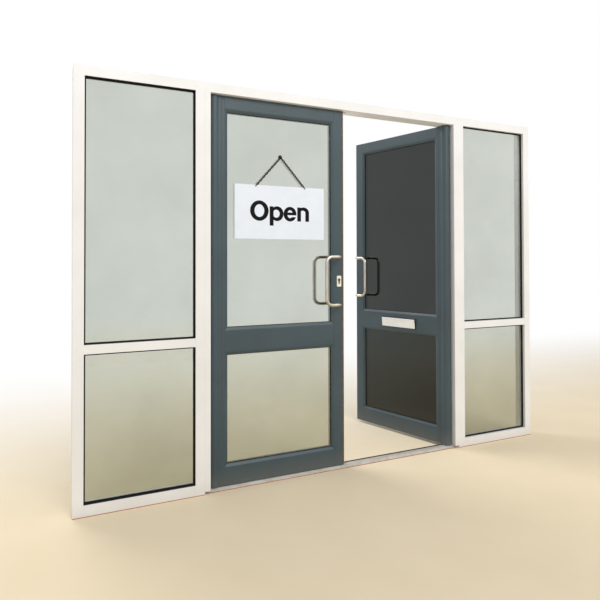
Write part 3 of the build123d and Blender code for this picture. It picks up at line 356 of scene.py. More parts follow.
# Cut vinyl film of the word: dense black with a low sheen
BLACK_VINYL = Finish(
    name="vinyl_film_black", colour="#0C0C0E", patch_colour="#101012", patch=90.0,
    roughness=(0.45, 0.55), grain=(1.2, 1.2, 1.2), relief=0.006, gloss=0.1,
)

FINISH_OF_SLOT: dict[str, Finish] = {
    "white_frame": WHITE_COAT,
    "slate_leaf": SLATE_COAT,
    "mill_aluminium": MILL_ALUMINIUM,
    "black_gasket": EPDM,
    "clear_glass": CLEAR_FLOAT,
    "satin_pull": SATIN_STAINLESS,
    "zinc_steel": ZINC_PLATE,
    "closer_paint": CASTING_PAINT,
    "nickel_lock": SATIN_NICKEL,
    "cream_trim": CREAM_COAT,
    "brown_brush": PILE,
    "black_trim": BLACK_NYLON,
    "white_flap": FLAP_COAT_PAINTED_LIGHT,
    "sign_white": PVC_SHEET,
    "black_chain": BLACK_ENAMEL,
}


@dataclass
class FinishRack:
    """Builds each finish once and hands it out."""

    made: dict[str, bpy.types.Material] = field(default_factory=dict)

    def get(self, finish: Finish) -> bpy.types.Material:
        """Return the material of a finish, and build it the first time.

        Args:
            finish: the finish wanted.

        Returns:
            Its material.
        """
        if finish.name not in self.made:
            self.made[finish.name] = finish.material()
        return self.made[finish.name]


# Shape helpers

def stamp(target: Shape, source: Shape, place: Matrix) -> None:
    """Copy one bmesh into another at a place.

    Args:
        target: bmesh that takes the copy.
        source: bmesh that is copied and kept.
        place: matrix of the copy.
    """
    carrier = bpy.data.meshes.new("carrier")
    source.to_mesh(carrier)
    carrier.transform(place)
    target.from_mesh(carrier)
    bpy.data.meshes.remove(carrier)


def copies(source: Shape, places: list[Matrix]) -> Shape:
    """Gather copies of one bmesh in a new one.

    Args:
        source: bmesh that is copied, then freed.
        places: matrix of each copy.

    Returns:
        The copies.
    """
    target = bmesh.new()
    for place in places:
        stamp(target, source, place)
    source.free()
    return target


def score(shape: Shape, axis: Vector, offsets: tuple[float, ...]) -> None:
    """Cut a bmesh's faces along planes across an axis, and keep both sides.

    Args:
        shape: the bmesh, which is changed.
        axis: the axis.
        offsets: where the planes cross it.
    """
    for offset in offsets:
        everything = shape.verts[:] + shape.edges[:] + shape.faces[:]
        bmesh.ops.bisect_plane(shape, geom=everything, plane_co=axis * offset, plane_no=axis)


@dataclass(frozen=True)
class ScrewHead:
    """A screw head with a cross recess. The shares are of its radius, or of its height if upright."""

    radius: float
    proud: float = 0.5
    sides: int = 24
    top_share: float = 0.88
    arm_half_share: float = 0.15
    arm_reach_share: float = 0.58
    face_upright_share: float = 0.99
    recess_upright_share: float = 0.85

    def shape(self) -> Shape:
        """Model the head facing +Z and seated on the plane below it.

        Returns:
            The head.
        """
        head = bmesh.new()
        bmesh.ops.create_cone(
            head, cap_ends=True, cap_tris=False, segments=self.sides, radius1=self.radius,
            radius2=self.radius * self.top_share, depth=self.proud,
            matrix=Matrix.Translation((0, 0, self.proud / 2)),
        )
        half, reach = self.radius * self.arm_half_share, self.radius * self.arm_reach_share
        for axis in (ALONG_X, ALONG_Y):
            score(head, axis, (-reach, -half, half, reach))
        recess = []
        for face in head.faces:
            middle = face.calc_center_median()
            across, along = sorted((abs(middle.x), abs(middle.y)))
            if middle.z > self.proud * self.face_upright_share and across < half and along < reach:
                recess.append(face)
        sunk = bmesh.ops.extrude_face_region(head, geom=recess)
        moved = [item for item in sunk["geom"] if isinstance(item, bmesh.types.BMVert)]
        bmesh.ops.translate(head, verts=moved, vec=(0, 0, -self.proud * self.recess_upright_share))
        return head


def slotted_disc(radius: float, thick: float, wide: float, tall: float, sides: int = 40) -> Shape:
    """Model a thin disc pierced by an upright slot, facing +Z.

    Args:
        radius: radius of the disc.
        thick: its thickness.
        wide: width of the slot along X.
        tall: height of the slot along Y.
        sides: sides of the rim.

    Returns:
        The disc.
    """
    disc = bmesh.new()
    bmesh.ops.create_circle(disc, cap_ends=True, cap_tris=False, segments=sides, radius=radius)
    for axis, half in ((ALONG_X, wide / 2), (ALONG_Y, tall / 2)):
        score(disc, axis, (-half, half))
    pierced = []
    for face in disc.faces:
        middle = face.calc_center_median()
        if abs(middle.x) < wide / 2 and abs(middle.y) < tall / 2:
            pierced.append(face)
    bmesh.ops.delete(disc, geom=pierced, context="FACES")
    thicken(disc, thick)
    return disc


def thicken(flat: Shape, thick: float) -> None:
    """Give a flat bmesh its thickness, upwards from Z = 0.

    Args:
        flat: the bmesh, which is changed.
        thick: the thickness.
    """
    bmesh.ops.solidify(flat, geom=flat.faces[:], thickness=thick)
    lowest = min(vert.co.z for vert in flat.verts)
    bmesh.ops.translate(flat, verts=flat.verts[:], vec=(0, 0, -lowest))


def turned_ring(radius: float, wire: float, around: int, section: int = 8) -> Shape:
    """Model a closed ring of round wire about the Z axis.

    Args:
        radius: radius of the wire's centreline.
        wire: diameter of the wire.
        around: steps round the ring.
        section: sides of the wire's section.

    Returns:
        The ring.
    """
    shape = bmesh.new()
    upright = Matrix.Translation((radius, 0, 0)) @ FACING_STREET
    bmesh.ops.create_circle(shape, segments=section, radius=wire / 2, matrix=upright)
    bmesh.ops.spin(
        shape, geom=shape.verts[:] + shape.edges[:], cent=(0, 0, 0), axis=(0, 0, 1),
        angle=math.radians(360), steps=around, use_merge=True,
    )
    return shape


def corner_bead(leg: float, length: float, cuts: int = 3, hollow: float = 0.82) -> Shape:
    """Model a hollow-faced bead that fills the corner between a floor and a wall at Y = 0.

    Args:
        leg: how far it reaches out along the floor and up the wall.
        length: length of the run along X, from the origin.
        cuts: cuts across its face.
        hollow: share of their distance from the corner that the cuts keep.

    Returns:
        The bead.
    """
    bead = bmesh.new()
    corner = bead.verts.new((0, 0, 0))
    tip = bead.verts.new((0, -leg, 0))
    top = bead.verts.new((0, 0, leg))
    bead.faces.new((corner, tip, top))
    slope = [edge for edge in bead.edges if corner not in edge.verts]
    bmesh.ops.subdivide_edges(bead, edges=slope, cuts=cuts)
    for vert in bead.verts:
        if vert not in (corner, tip, top):
            vert.co *= hollow
    drawn = bmesh.ops.extrude_face_region(bead, geom=bead.faces[:])
    moved = [item for item in drawn["geom"] if isinstance(item, bmesh.types.BMVert)]
    bmesh.ops.translate(bead, verts=moved, vec=(length, 0, 0))
    return bead


def soften(node: str, width: float, segments: int = 2) -> None:
    """Give a CAD node small rounded edges, as the real profile has, without touching its mesh.

    The weld can leave corner normals leaning, which bends what a flat pane mirrors, so they are
    set again from the faces at the end.

    Args:
        node: name of the CAD node.
        width: width of the rounding.
        segments: faces across the rounding.
    """
    modifiers = frame["nodes"][node].modifiers
    weld = modifiers.new("weld", "WELD")
    weld.merge_threshold = WELD_REACH * MM
    flat = modifiers.new("flat_faces", "DECIMATE")
    flat.decimate_type = "DISSOLVE"
    flat.angle_limit = math.radians(FLAT_ANGLE)
    bevel = modifiers.new("edges", "BEVEL")
    bevel.width = width * MM
    bevel.segments = segments
    bevel.limit_method = "ANGLE"
    bevel.angle_limit = math.radians(EDGE_ANGLE)
    bevel.harden_normals = True
    normals = modifiers.new("face_normals", "WEIGHTED_NORMAL")
    normals.weight = LARGE_FACE_WEIGHT
    normals.keep_sharp = True


# Sub-assemblies

@dataclass
class Assembly:
    """A part of the screen that takes its finishes from the shared rack."""

    rack: FinishRack

    def dress(self, nodes: list[str], other: dict[str, Finish] | None = None) -> None:
        """Put the finishes on CAD nodes by the slots that they came with.

        Args:
            nodes: names of the CAD nodes.
            other: finish by slot, where it isn't the slot's usual one.
        """
        choice = {**FINISH_OF_SLOT, **(other or {})}
        for name in nodes:
            for holder in frame["nodes"][name].material_slots:
                holder.material = self.rack.get(choice[holder.material.name])
            LOG.info("dressed %s", name)

    def add_piece(
        self, name: str, shape: Shape, finish: Finish, body: str, slot: str
    ) -> bpy.types.Object:
        """Turn a finished bmesh into a piece that rides on a body.

        Args:
            name: name of the piece.
            shape: the mesh, in metres, in the row frame. It is freed.
            finish: its finish.
            body: CAD body that carries it.
            slot: the record's material slot that it belongs to; not used.

        Returns:
            The new object, at the origin.
        """
        bmesh.ops.remove_doubles(shape, verts=shape.verts[:], dist=PIECE_WELD_REACH * MM)
        bmesh.ops.recalc_face_normals(shape, faces=shape.faces[:])
        mesh = bpy.data.meshes.new(name)
        shape.to_mesh(mesh)
        shape.free()
        mesh.materials.append(self.rack.get(finish))
        mesh.shade_smooth()
        mesh.set_sharp_from_angle(angle=math.radians(SMOOTH_ANGLE))
        piece = bpy.data.objects.new(name, mesh)
        bpy.context.scene.collection.objects.link(piece)
        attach(piece, body)
        LOG.info("piece %s: %d faces on %s", name, len(mesh.polygons), body)
        return piece


@dataclass
class Screen(Assembly):
    """The fixed frame: sidelights, mullions, door jambs, head and threshold."""

    edge: float = 0.9
    front: float = -50.0
    half_wide: float = 1496.0
    doorway_half: float = 852.0
    threshold_half_depth: float = 40.0
    threshold_top: float = 14.0
    threshold_screws: tuple[float, ...] = (-700.0, -420.0, -140.0, 140.0, 420.0, 700.0)
    threshold_head: ScrewHead = ScrewHead(4.5)
    flange_top: float = 16.0
    flange_screw_offset: float = 14.0
    flange_head: ScrewHead = ScrewHead(3.2)
    sealant_leg: float = 3.5
    seal_half_long: float = 764.0
    seal_from: float = 8.0
    seal_to: float = 22.0
    seal_thick: float = 0.8
    seal_round: float = 0.5
    seal_round_steps: int = 3

    def build(self) -> None:
        """Dress the frame's nodes, soften their edges and add the small pieces."""
        names = NODES_OF_BODY["frame"]
        self.dress(names)
        for name in names:
            if name.endswith("panes"):
                soften(name, PANE_ARRIS, 1)
            elif frame["nodes"][name].material_slots[0].material == self.rack.get(WHITE_COAT):
                soften(name, self.edge)
        self.add_screws()
        self.add_sealant()
        self.add_threshold_seal()

    def add_screws(self) -> None:
        """Add the screw heads along the threshold and on the bottom pivots' flanges."""
        along = [(x, 0, self.threshold_top) for x in self.threshold_screws]
        offsets = (-self.flange_screw_offset, self.flange_screw_offset)
        ends = (-PIVOT_HALF_SPAN, PIVOT_HALF_SPAN)
        around = [(x, y, self.flange_top) for x in ends for y in offsets]
        for name, head, seats in (
            ("threshold_screws", self.threshold_head, along),
            ("pivot_flange_screws", self.flange_head, around),
        ):
            shape = copies(head.shape(), [METRES @ Matrix.Translation(seat) for seat in seats])
            self.add_piece(name, shape, ZINC_PLATE, "frame", "zinc_steel")

    def add_sealant(self) -> None:
        """Run a bead of sealant along the frame's foot on the street side."""
        shape = bmesh.new()
        for start, end, wall in (
            (-self.half_wide, -self.doorway_half, self.front),
            (-self.doorway_half, self.doorway_half, -self.threshold_half_depth),
            (self.doorway_half, self.half_wide, self.front),
        ):
            bead = corner_bead(self.sealant_leg, end - start)
            stamp(shape, bead, METRES @ Matrix.Translation((start, wall, 0)))
            bead.free()
        self.add_piece("foot_sealant", shape, TERRACOTTA_SEALANT, "frame", "brown_brush")

    def add_threshold_seal(self) -> None:
        """Lay the rubber strip along the back of the threshold's top, between the pivots' flanges."""
        level = self.threshold_top + self.seal_thick / 2
        middle = Matrix.Translation((0, (self.seal_from + self.seal_to) / 2, level))
        wide = self.seal_to - self.seal_from
        sized = Matrix.Diagonal((2 * self.seal_half_long, wide, self.seal_thick, 1))
        strip = bmesh.new()
        bmesh.ops.create_cube(strip, size=1.0, matrix=METRES @ middle @ sized)
        long_edges = [e for e in strip.edges if abs(e.verts[0].co.x - e.verts[1].co.x) > MM]
        top_edges = [e for e in long_edges if e.verts[0].co.z > level * MM]
        bmesh.ops.bevel(
            strip, geom=top_edges, offset=self.seal_round * MM, segments=self.seal_round_steps,
            profile=0.5, affect="EDGES", material=-1,
        )
        self.add_piece("threshold_seal", strip, EPDM, "frame", "black_gasket")


class Side(Enum):
    """The two leaves, seen from the street."""

    LEFT = "left"
    RIGHT = "right"


@dataclass
class Leaf(Assembly):
    """A glazed door leaf with its pulls. U runs from the pivot to the meeting edge."""

    side: Side
    open_angle: float = 75.0
    meeting_edge: float = 788.5
    profile_edge: float = 1.2
    bead_edge: float = 0.7
    plate_head: ScrewHead = ScrewHead(4.0)
    screw_from_end: float = 9.0

    def place(self) -> Matrix:
        """Find where the leaf stands.

        Returns:
            Matrix from the closed leaf, in millimetres, to the row frame, in metres.
        """
        if self.side is Side.LEFT:
            return METRES @ Matrix.Translation((-PIVOT_HALF_SPAN, 0, 0))
        turn = Matrix.Rotation(math.radians(-self.open_angle), 4, "Z")
        flip = Matrix.Diagonal((-1, 1, 1, 1))
        return METRES @ Matrix.Translation((PIVOT_HALF_SPAN, 0, 0)) @ turn @ flip

    def body(self) -> str:
        """Name of the CAD body of this leaf."""
        return f"{self.side.value}_leaf"

    def build(self) -> None:
        """Dress the leaf's nodes and soften their edges. The right leaf's glass has the near-black body, a
        painted dark reflection.
        """
        names = NODES_OF_BODY[self.body()]
        self.dress(names, {"clear_glass": FLOAT_PAINTED_DARK_REFLECTION} if self.side is Side.RIGHT else {})
        for name in names:
            if name.endswith("panes"):
                soften(name, PANE_ARRIS, 1)
            elif name.endswith(("stile", "rail")):
                soften(name, self.profile_edge)
            elif name.endswith("beads"):
                soften(name, self.bead_edge)

    def add_plate_screws(self, name: str, middle: float, tall: float) -> None:
        """Add the two screw heads of a plate let into the meeting edge.

        Args:
            name: name of the piece.
            middle: height of the plate's middle above the floor.
            tall: the plate's own height.
        """
        reach = tall / 2 - self.screw_from_end
        seats = [Matrix.Translation((self.meeting_edge, 0, middle + way)) for way in (-reach, reach)]
        shape = copies(self.plate_head.shape(), [self.place() @ seat @ FACING_EDGE for seat in seats])
        self.add_piece(name, shape, ZINC_PLATE, self.body(), "zinc_steel")


@dataclass
class Lock(Assembly):
    """The mortice lock in the left leaf and its keep in the right leaf."""

    left: Leaf
    right: Leaf
    height: float = 1102.0
    backset: float = 31.0
    plug_height: float = 1110.0
    plug_radius: float = 6.4
    plug_thick: float = 0.4
    plug_face: float = -27.0
    keyway: Span = (2.4, 8.0)
    faceplate_tall: float = 210.0
    bolt_height: float = 1052.0
    keep_tall: float = 100.0
    escutcheon_edge: float = 1.0
    escutcheon_edge_steps: int = 3
    turn_edge: float = 0.8
    cylinder_edge: float = 0.4

    def build(self) -> None:
        """Dress the moving lock parts, soften the plates and add screws and the plug."""
        self.dress(["lock_bolt", "thumb_turn"])
        # The cylinder takes the dark nickel: painted shade and painted dark reflection at the keyway
        for holder in frame["nodes"]["lock_cylinder"].material_slots:
            holder.material = self.rack.get(NICKEL_PAINTED_SHADE)
        soften("lock_escutcheons", self.escutcheon_edge, self.escutcheon_edge_steps)
        soften("thumb_turn", self.turn_edge)
        soften("lock_cylinder", self.cylinder_edge)
        self.left.add_plate_screws("faceplate_screws", self.height, self.faceplate_tall)
        self.right.add_plate_screws("keep_screws", self.bolt_height, self.keep_tall)
        self.add_plug()

    def add_plug(self) -> None:
        """Add the cylinder's turning plug round the keyway."""
        u = self.left.meeting_edge - self.backset
        seat = Matrix.Translation((u, self.plug_face, self.plug_height)) @ FACING_STREET
        disc = slotted_disc(self.plug_radius, self.plug_thick, *self.keyway)
        shape = copies(disc, [self.left.place() @ seat])
        # The plug takes the same dark nickel: painted shade and painted dark reflection
        self.add_piece("cylinder_plug", shape, NICKEL_PAINTED_SHADE, "left_leaf", "nickel_lock")


@dataclass
class LetterPlate(Assembly):
    """The letter plate in the right leaf's mid rail, and the flush bolts beside it."""

    plate_edge: float = 0.8
    flap_edge: float = 0.6

    def build(self) -> None:
        """Dress the flap and bolts and soften the plate."""
        # The flap's white is painted lighter than the frame's: painted light on its shaded face
        self.dress(["letter_flap", "top_flush_bolt", "bottom_flush_bolt"])
        soften("letter_plate", self.plate_edge)
        soften("letter_flap", self.flap_edge)


@dataclass
class HangingSign(Assembly):
    """The board, chain and hook on the left leaf.

    The wire is the flat link's and ring's, and sets their places and openings. The round wire
    is the drawn link's own, about as thick as in the photograph.
    """

    middle_x: float = -404.5
    top: float = 1645.0
    back_y: float = -16.5
    board_edge: float = 0.5
    hole_from_middle: float = 152.0
    hole_from_top: float = 7.0
    hole_radius: float = 3.0
    peg_height: float = 1811.0
    peg_radius: float = 2.0
    ring_outer: float = 7.5
    ring_steps: int = 32
    wire: float = 2.2
    link_length: float = 18.0
    link_width: float = 9.0
    link_bend_steps: int = 7
    slack: float = 0.3
    round_wire: float = 4.2
    round_wire_sides: int = 8
    eyelet_wire: float = 1.0
    eyelet_steps: int = 28

    def build(self) -> None:
        """Dress the board and add the wire chain and the eyelets."""
        self.dress(["sign_board"])
        soften("sign_board", self.board_edge)
        self.add_chain()
        self.add_eyelets()

    def wire_link(self) -> Shape:
        """Model one link of round wire along X, lying in X and Y, with the flat link's opening.

        Returns:
            The link.
        """
        link = bmesh.new()
        straight = self.link_length - self.link_width
        radius = self.link_width / 2 - self.wire + self.round_wire / 2
        start = Matrix.Translation((straight / 2, -radius, 0)) @ FACING_EDGE
        bmesh.ops.create_circle(
            link, segments=self.round_wire_sides, radius=self.round_wire / 2, matrix=start,
        )
        last = link.verts[:] + link.edges[:]
        for centre in (straight / 2, -straight / 2):
            turned = bmesh.ops.spin(
                link, geom=last, cent=(centre, 0, 0), axis=(0, 0, 1), angle=math.radians(180),
                steps=self.link_bend_steps,
            )
            edges = [item for item in turned["geom_last"] if isinstance(item, bmesh.types.BMEdge)]
            drawn = bmesh.ops.extrude_edge_only(link, edges=edges)["geom"]
            verts = [item for item in drawn if isinstance(item, bmesh.types.BMVert)]
            bmesh.ops.translate(link, verts=verts, vec=(-2 * centre, 0, 0))
            ends = [item for item in drawn if isinstance(item, bmesh.types.BMEdge)]
            last = verts + [edge for edge in ends if all(vert in verts for vert in edge.verts)]
        bmesh.ops.remove_doubles(link, verts=link.verts[:], dist=WELD_REACH)
        return link

    def add_chain(self) -> None:
        """Replace the solid's flat links by round wire ones in the same places."""
        middle_y = (BOARD_FACE + self.back_y) / 2
        inner = self.ring_outer - self.wire
        ring_z = self.peg_height + self.peg_radius + self.slack - inner
        hole_z = self.top - self.hole_from_top
        rise = ring_z - hole_z
        run = math.hypot(self.hole_from_middle, rise)
        lean = math.atan2(rise, self.hole_from_middle)
        bulge_radius = self.link_width / 2 - self.wire
        board_half = (self.back_y - BOARD_FACE) / 2
        bulge = bulge_radius - math.sqrt(bulge_radius ** 2 - board_half ** 2)
        first = self.hole_radius - self.slack - bulge - self.wire + self.link_length / 2
        last = run - inner - self.link_length / 2 + self.wire
        pitch = self.link_length - 2 * self.wire - self.slack
        pairs = math.ceil((last - first) / pitch / 2)
        ring = turned_ring(self.ring_outer - self.wire / 2, self.wire, self.ring_steps)
        ring_seat = Matrix.Translation((self.middle_x, middle_y, ring_z)) @ FACING_STREET
        chain = copies(ring, [METRES @ ring_seat])
        link = self.wire_link()
        for side in (-1, 1):
            turn = Matrix.Rotation(side * lean, 4, "Y")
            for k in range(2 * pairs + 1):
                along = first + (last - first) * k / (2 * pairs)
                x = self.middle_x + side * (self.hole_from_middle - along * math.cos(lean))
                seat = Matrix.Translation((x, middle_y, hole_z + along * math.sin(lean))) @ turn
                stamp(chain, link, METRES @ seat @ (FACING_STREET if k % 2 else Matrix.Identity(4)))
        link.free()
        piece = self.add_piece("sign_chain_wire", chain, BLACK_ENAMEL, "hanging_sign", "black_chain")
        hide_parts("sign_chain")

    def add_eyelets(self) -> None:
        """Add a rolled eyelet on each face of both holes."""
        ring = turned_ring(self.hole_radius + self.eyelet_wire / 2, self.eyelet_wire, self.eyelet_steps)
        height = self.top - self.hole_from_top
        seats = [
            Matrix.Translation((self.middle_x + side * self.hole_from_middle, depth, height))
            for side in (-1, 1) for depth in (BOARD_FACE, self.back_y)
        ]
        shape = copies(ring, [METRES @ seat @ FACING_STREET for seat in seats])
        self.add_piece("sign_eyelets", shape, SATIN_NICKEL, "hanging_sign", "nickel_lock")


@dataclass(frozen=True)
class Oval:
    """An ellipse in the sign's plane, by its extents."""

    left: float
    right: float
    bottom: float
    top: float

    def inset(self, across: float, up: float) -> "Oval":
        """Give the ellipse that lies inside this one by a stem and a thin stroke."""
        return Oval(self.left + across, self.right - across, self.bottom + up, self.top - up)

    def matrix(self) -> Matrix:
        """Matrix from the unit circle, or the square round it, to this ellipse."""
        middle = Matrix.Translation(((self.left + self.right) / 2, (self.bottom + self.top) / 2, 0))
        return middle @ Matrix.Diagonal(((self.right - self.left) / 2, (self.top - self.bottom) / 2, 1, 1))


@dataclass
class SignWord(Assembly):
    """The cut vinyl word Open on the board, in upright bold strokes.

    Letters are drawn in X and Y, as on paper, and turned to face the street at the end.
    """

    thick: float = 0.3
    baseline: float = 1448.5
    capital_top: float = 1557.5
    small_top: float = 1529.0
    descender: float = 1420.5
    overshoot: float = 1.5
    stem: float = 23.5
    thin: float = 19.0
    capital_extra: float = 2.5
    stem_overlap: float = 4.0
    stem_bite: float = 1.0
    branch_share: float = 0.75
    steps: int = 72
    capital_o: Span = (-589.5, -479.5)
    letter_p: Span = (-473.0, -388.5)
    letter_e: Span = (-388.0, -307.5)
    letter_n: Span = (-302.0, -227.0)
    bar_of_e: Span = (1483.0, 1498.0)
    tail_of_e: float = 1472.5
    shoulder_of_n: float = 1500.0

    def build(self) -> None:
        """Draw the four letters and lay them on the board."""
        shape = bmesh.new()
        seat = METRES @ Matrix.Translation((0, BOARD_FACE, 0)) @ FACING_STREET
        for stroke in (*self.draw_o(), *self.draw_p(), *self.draw_e(), *self.draw_n()):
            bmesh.ops.recalc_face_normals(stroke, faces=stroke.faces[:])
            thicken(stroke, self.thick)
            stamp(shape, stroke, seat)
            stroke.free()
        self.add_piece("sign_word", shape, BLACK_VINYL, "hanging_sign", "black_trim")

    def bowl(self, outer: Oval, inner: Oval) -> Shape:
        """Draw a closed round stroke, as a flat ring of radius 1 to 2 that is then fitted.

        Args:
            outer: its outer edge.
            inner: its inner edge.

        Returns:
            The flat stroke.
        """
        stroke = bmesh.new()
        near, far = stroke.verts.new((1, 0, 0)), stroke.verts.new((2, 0, 0))
        stroke.edges.new((near, far))
        bmesh.ops.spin(
            stroke, geom=stroke.verts[:] + stroke.edges[:], cent=(0, 0, 0), axis=(0, 0, 1),
            angle=math.radians(360), steps=self.steps, use_merge=True,
        )
        inside = [vert for vert in stroke.verts if vert.co.length < 1.5]
        outside = [vert for vert in stroke.verts if vert.co.length >= 1.5]
        halved = Matrix.Diagonal((0.5, 0.5, 1, 1))
        bmesh.ops.transform(stroke, matrix=inner.matrix(), verts=inside)
        bmesh.ops.transform(stroke, matrix=outer.matrix() @ halved, verts=outside)
        return stroke

    @staticmethod
    def bar(left: float, right: float, bottom: float, top: float) -> Shape:
        """Draw a straight stroke between its four edges.

        Args:
            left: its left edge.
            right: its right edge.
            bottom: its lower edge.
            top: its upper edge.

        Returns:
            The flat stroke.
        """
        stroke = bmesh.new()
        matrix = Oval(left, right, bottom, top).matrix()
        bmesh.ops.create_grid(stroke, x_segments=1, y_segments=1, size=1.0, matrix=matrix)
        return stroke

    @staticmethod
    def trim(stroke: Shape, at: Span, away: Span) -> None:
        """Cut a flat stroke along a line and drop the part beyond it.

        Args:
            stroke: the stroke, which is changed.
            at: a point on the line.
            away: direction from the line into the part that goes.
        """
        everything = stroke.verts[:] + stroke.edges[:] + stroke.faces[:]
        bmesh.ops.bisect_plane(
            stroke, geom=everything, plane_co=(*at, 0), plane_no=(*away, 0), clear_outer=True,
        )

    def small_oval(self, left: float, right: float) -> Oval:
        """Give the outer edge of a small round letter."""
        return Oval(left, right, self.baseline - self.overshoot, self.small_top + self.overshoot)

    def draw_o(self) -> list[Shape]:
        """Draw the capital O.

        Returns:
            Its one stroke.
        """
        low, high = self.baseline - 2 * self.overshoot, self.capital_top + self.overshoot
        outer = Oval(*self.capital_o, low, high)
        inner = outer.inset(self.stem + self.capital_extra, self.thin + self.capital_extra)
        return [self.bowl(outer, inner)]

    def draw_p(self) -> list[Shape]:
        """Draw the p: a stem down to the descender and a bowl that meets it.

        Returns:
            Its strokes.
        """
        left, right = self.letter_p
        edge = left + self.stem
        outer = self.small_oval(edge - self.stem * self.branch_share, right)
        low, high = outer.bottom + self.thin, outer.top - self.thin
        stroke = self.bowl(outer, Oval(edge - self.stem_overlap, right - self.stem, low, high))
        self.trim(stroke, (edge - self.stem_bite, 0), (-1, 0))
        return [self.bar(left, edge, self.descender, self.small_top), stroke]

    def draw_e(self) -> list[Shape]:
        """Draw the e: an open bowl and its bar.

        Returns:
            Its strokes.
        """
        left, right = self.letter_e
        outer = self.small_oval(left, right)
        inner = outer.inset(self.stem, self.thin)
        low, high = self.bar_of_e
        stroke = self.bowl(outer, inner)
        score(stroke, ALONG_Y, (self.tail_of_e, low))
        gap = []
        for face in stroke.faces:
            middle = face.calc_center_median()
            if middle.x > (left + right) / 2 and self.tail_of_e < middle.y < low:
                gap.append(face)
        bmesh.ops.delete(stroke, geom=gap, context="FACES")
        bar = bmesh.new()
        bmesh.ops.create_circle(
            bar, cap_ends=True, cap_tris=False, segments=self.steps, radius=1.0, matrix=inner.matrix(),
        )
        self.trim(bar, (0, high), (0, 1))
        self.trim(bar, (0, low), (0, -1))
        return [stroke, bar]

    def draw_n(self) -> list[Shape]:
        """Draw the n: two stems and the arch between them.

        Returns:
            Its strokes.
        """
        left, right = self.letter_n
        edge = left + self.stem
        level = self.shoulder_of_n
        tall = self.small_top + self.overshoot - level
        outer = Oval(edge - self.stem * self.branch_share, right, level - tall, level + tall)
        low, high = outer.bottom + self.thin, outer.top - self.thin
        inner = Oval(edge - self.stem_overlap, right - self.stem, low, high)
        arch = self.bowl(outer, inner)
        self.trim(arch, (0, level), (0, -1))
        self.trim(arch, (edge - self.stem_bite, 0), (-1, 0))
        return [
            self.bar(left, edge, self.baseline, self.small_top),
            arch,
            self.bar(inner.right, right, self.baseline, level),
        ]


# Studio

@dataclass(frozen=True)
class Lamp:
    """A soft square lamp, hidden from the camera and from sight through glass. Metres, watts."""

    name: str
    at: Point
    aim: Point
    size: float
    power: float

    def hang(self) -> None:
        """Hang the lamp, facing the point that it aims at."""
        light = bpy.data.lights.new(self.name, "AREA")
        light.shape = "SQUARE"
        light.size = self.size
        light.energy = self.power
        lamp = bpy.data.objects.new(self.name, light)
        lamp.location = self.at
        lamp.rotation_mode = "QUATERNION"
        lamp.rotation_quaternion = (Vector(self.aim) - Vector(self.at)).to_track_quat("-Z", "Y")
        lamp.visible_camera = False
        lamp.visible_transmission = False
        bpy.context.scene.collection.objects.link(lamp)


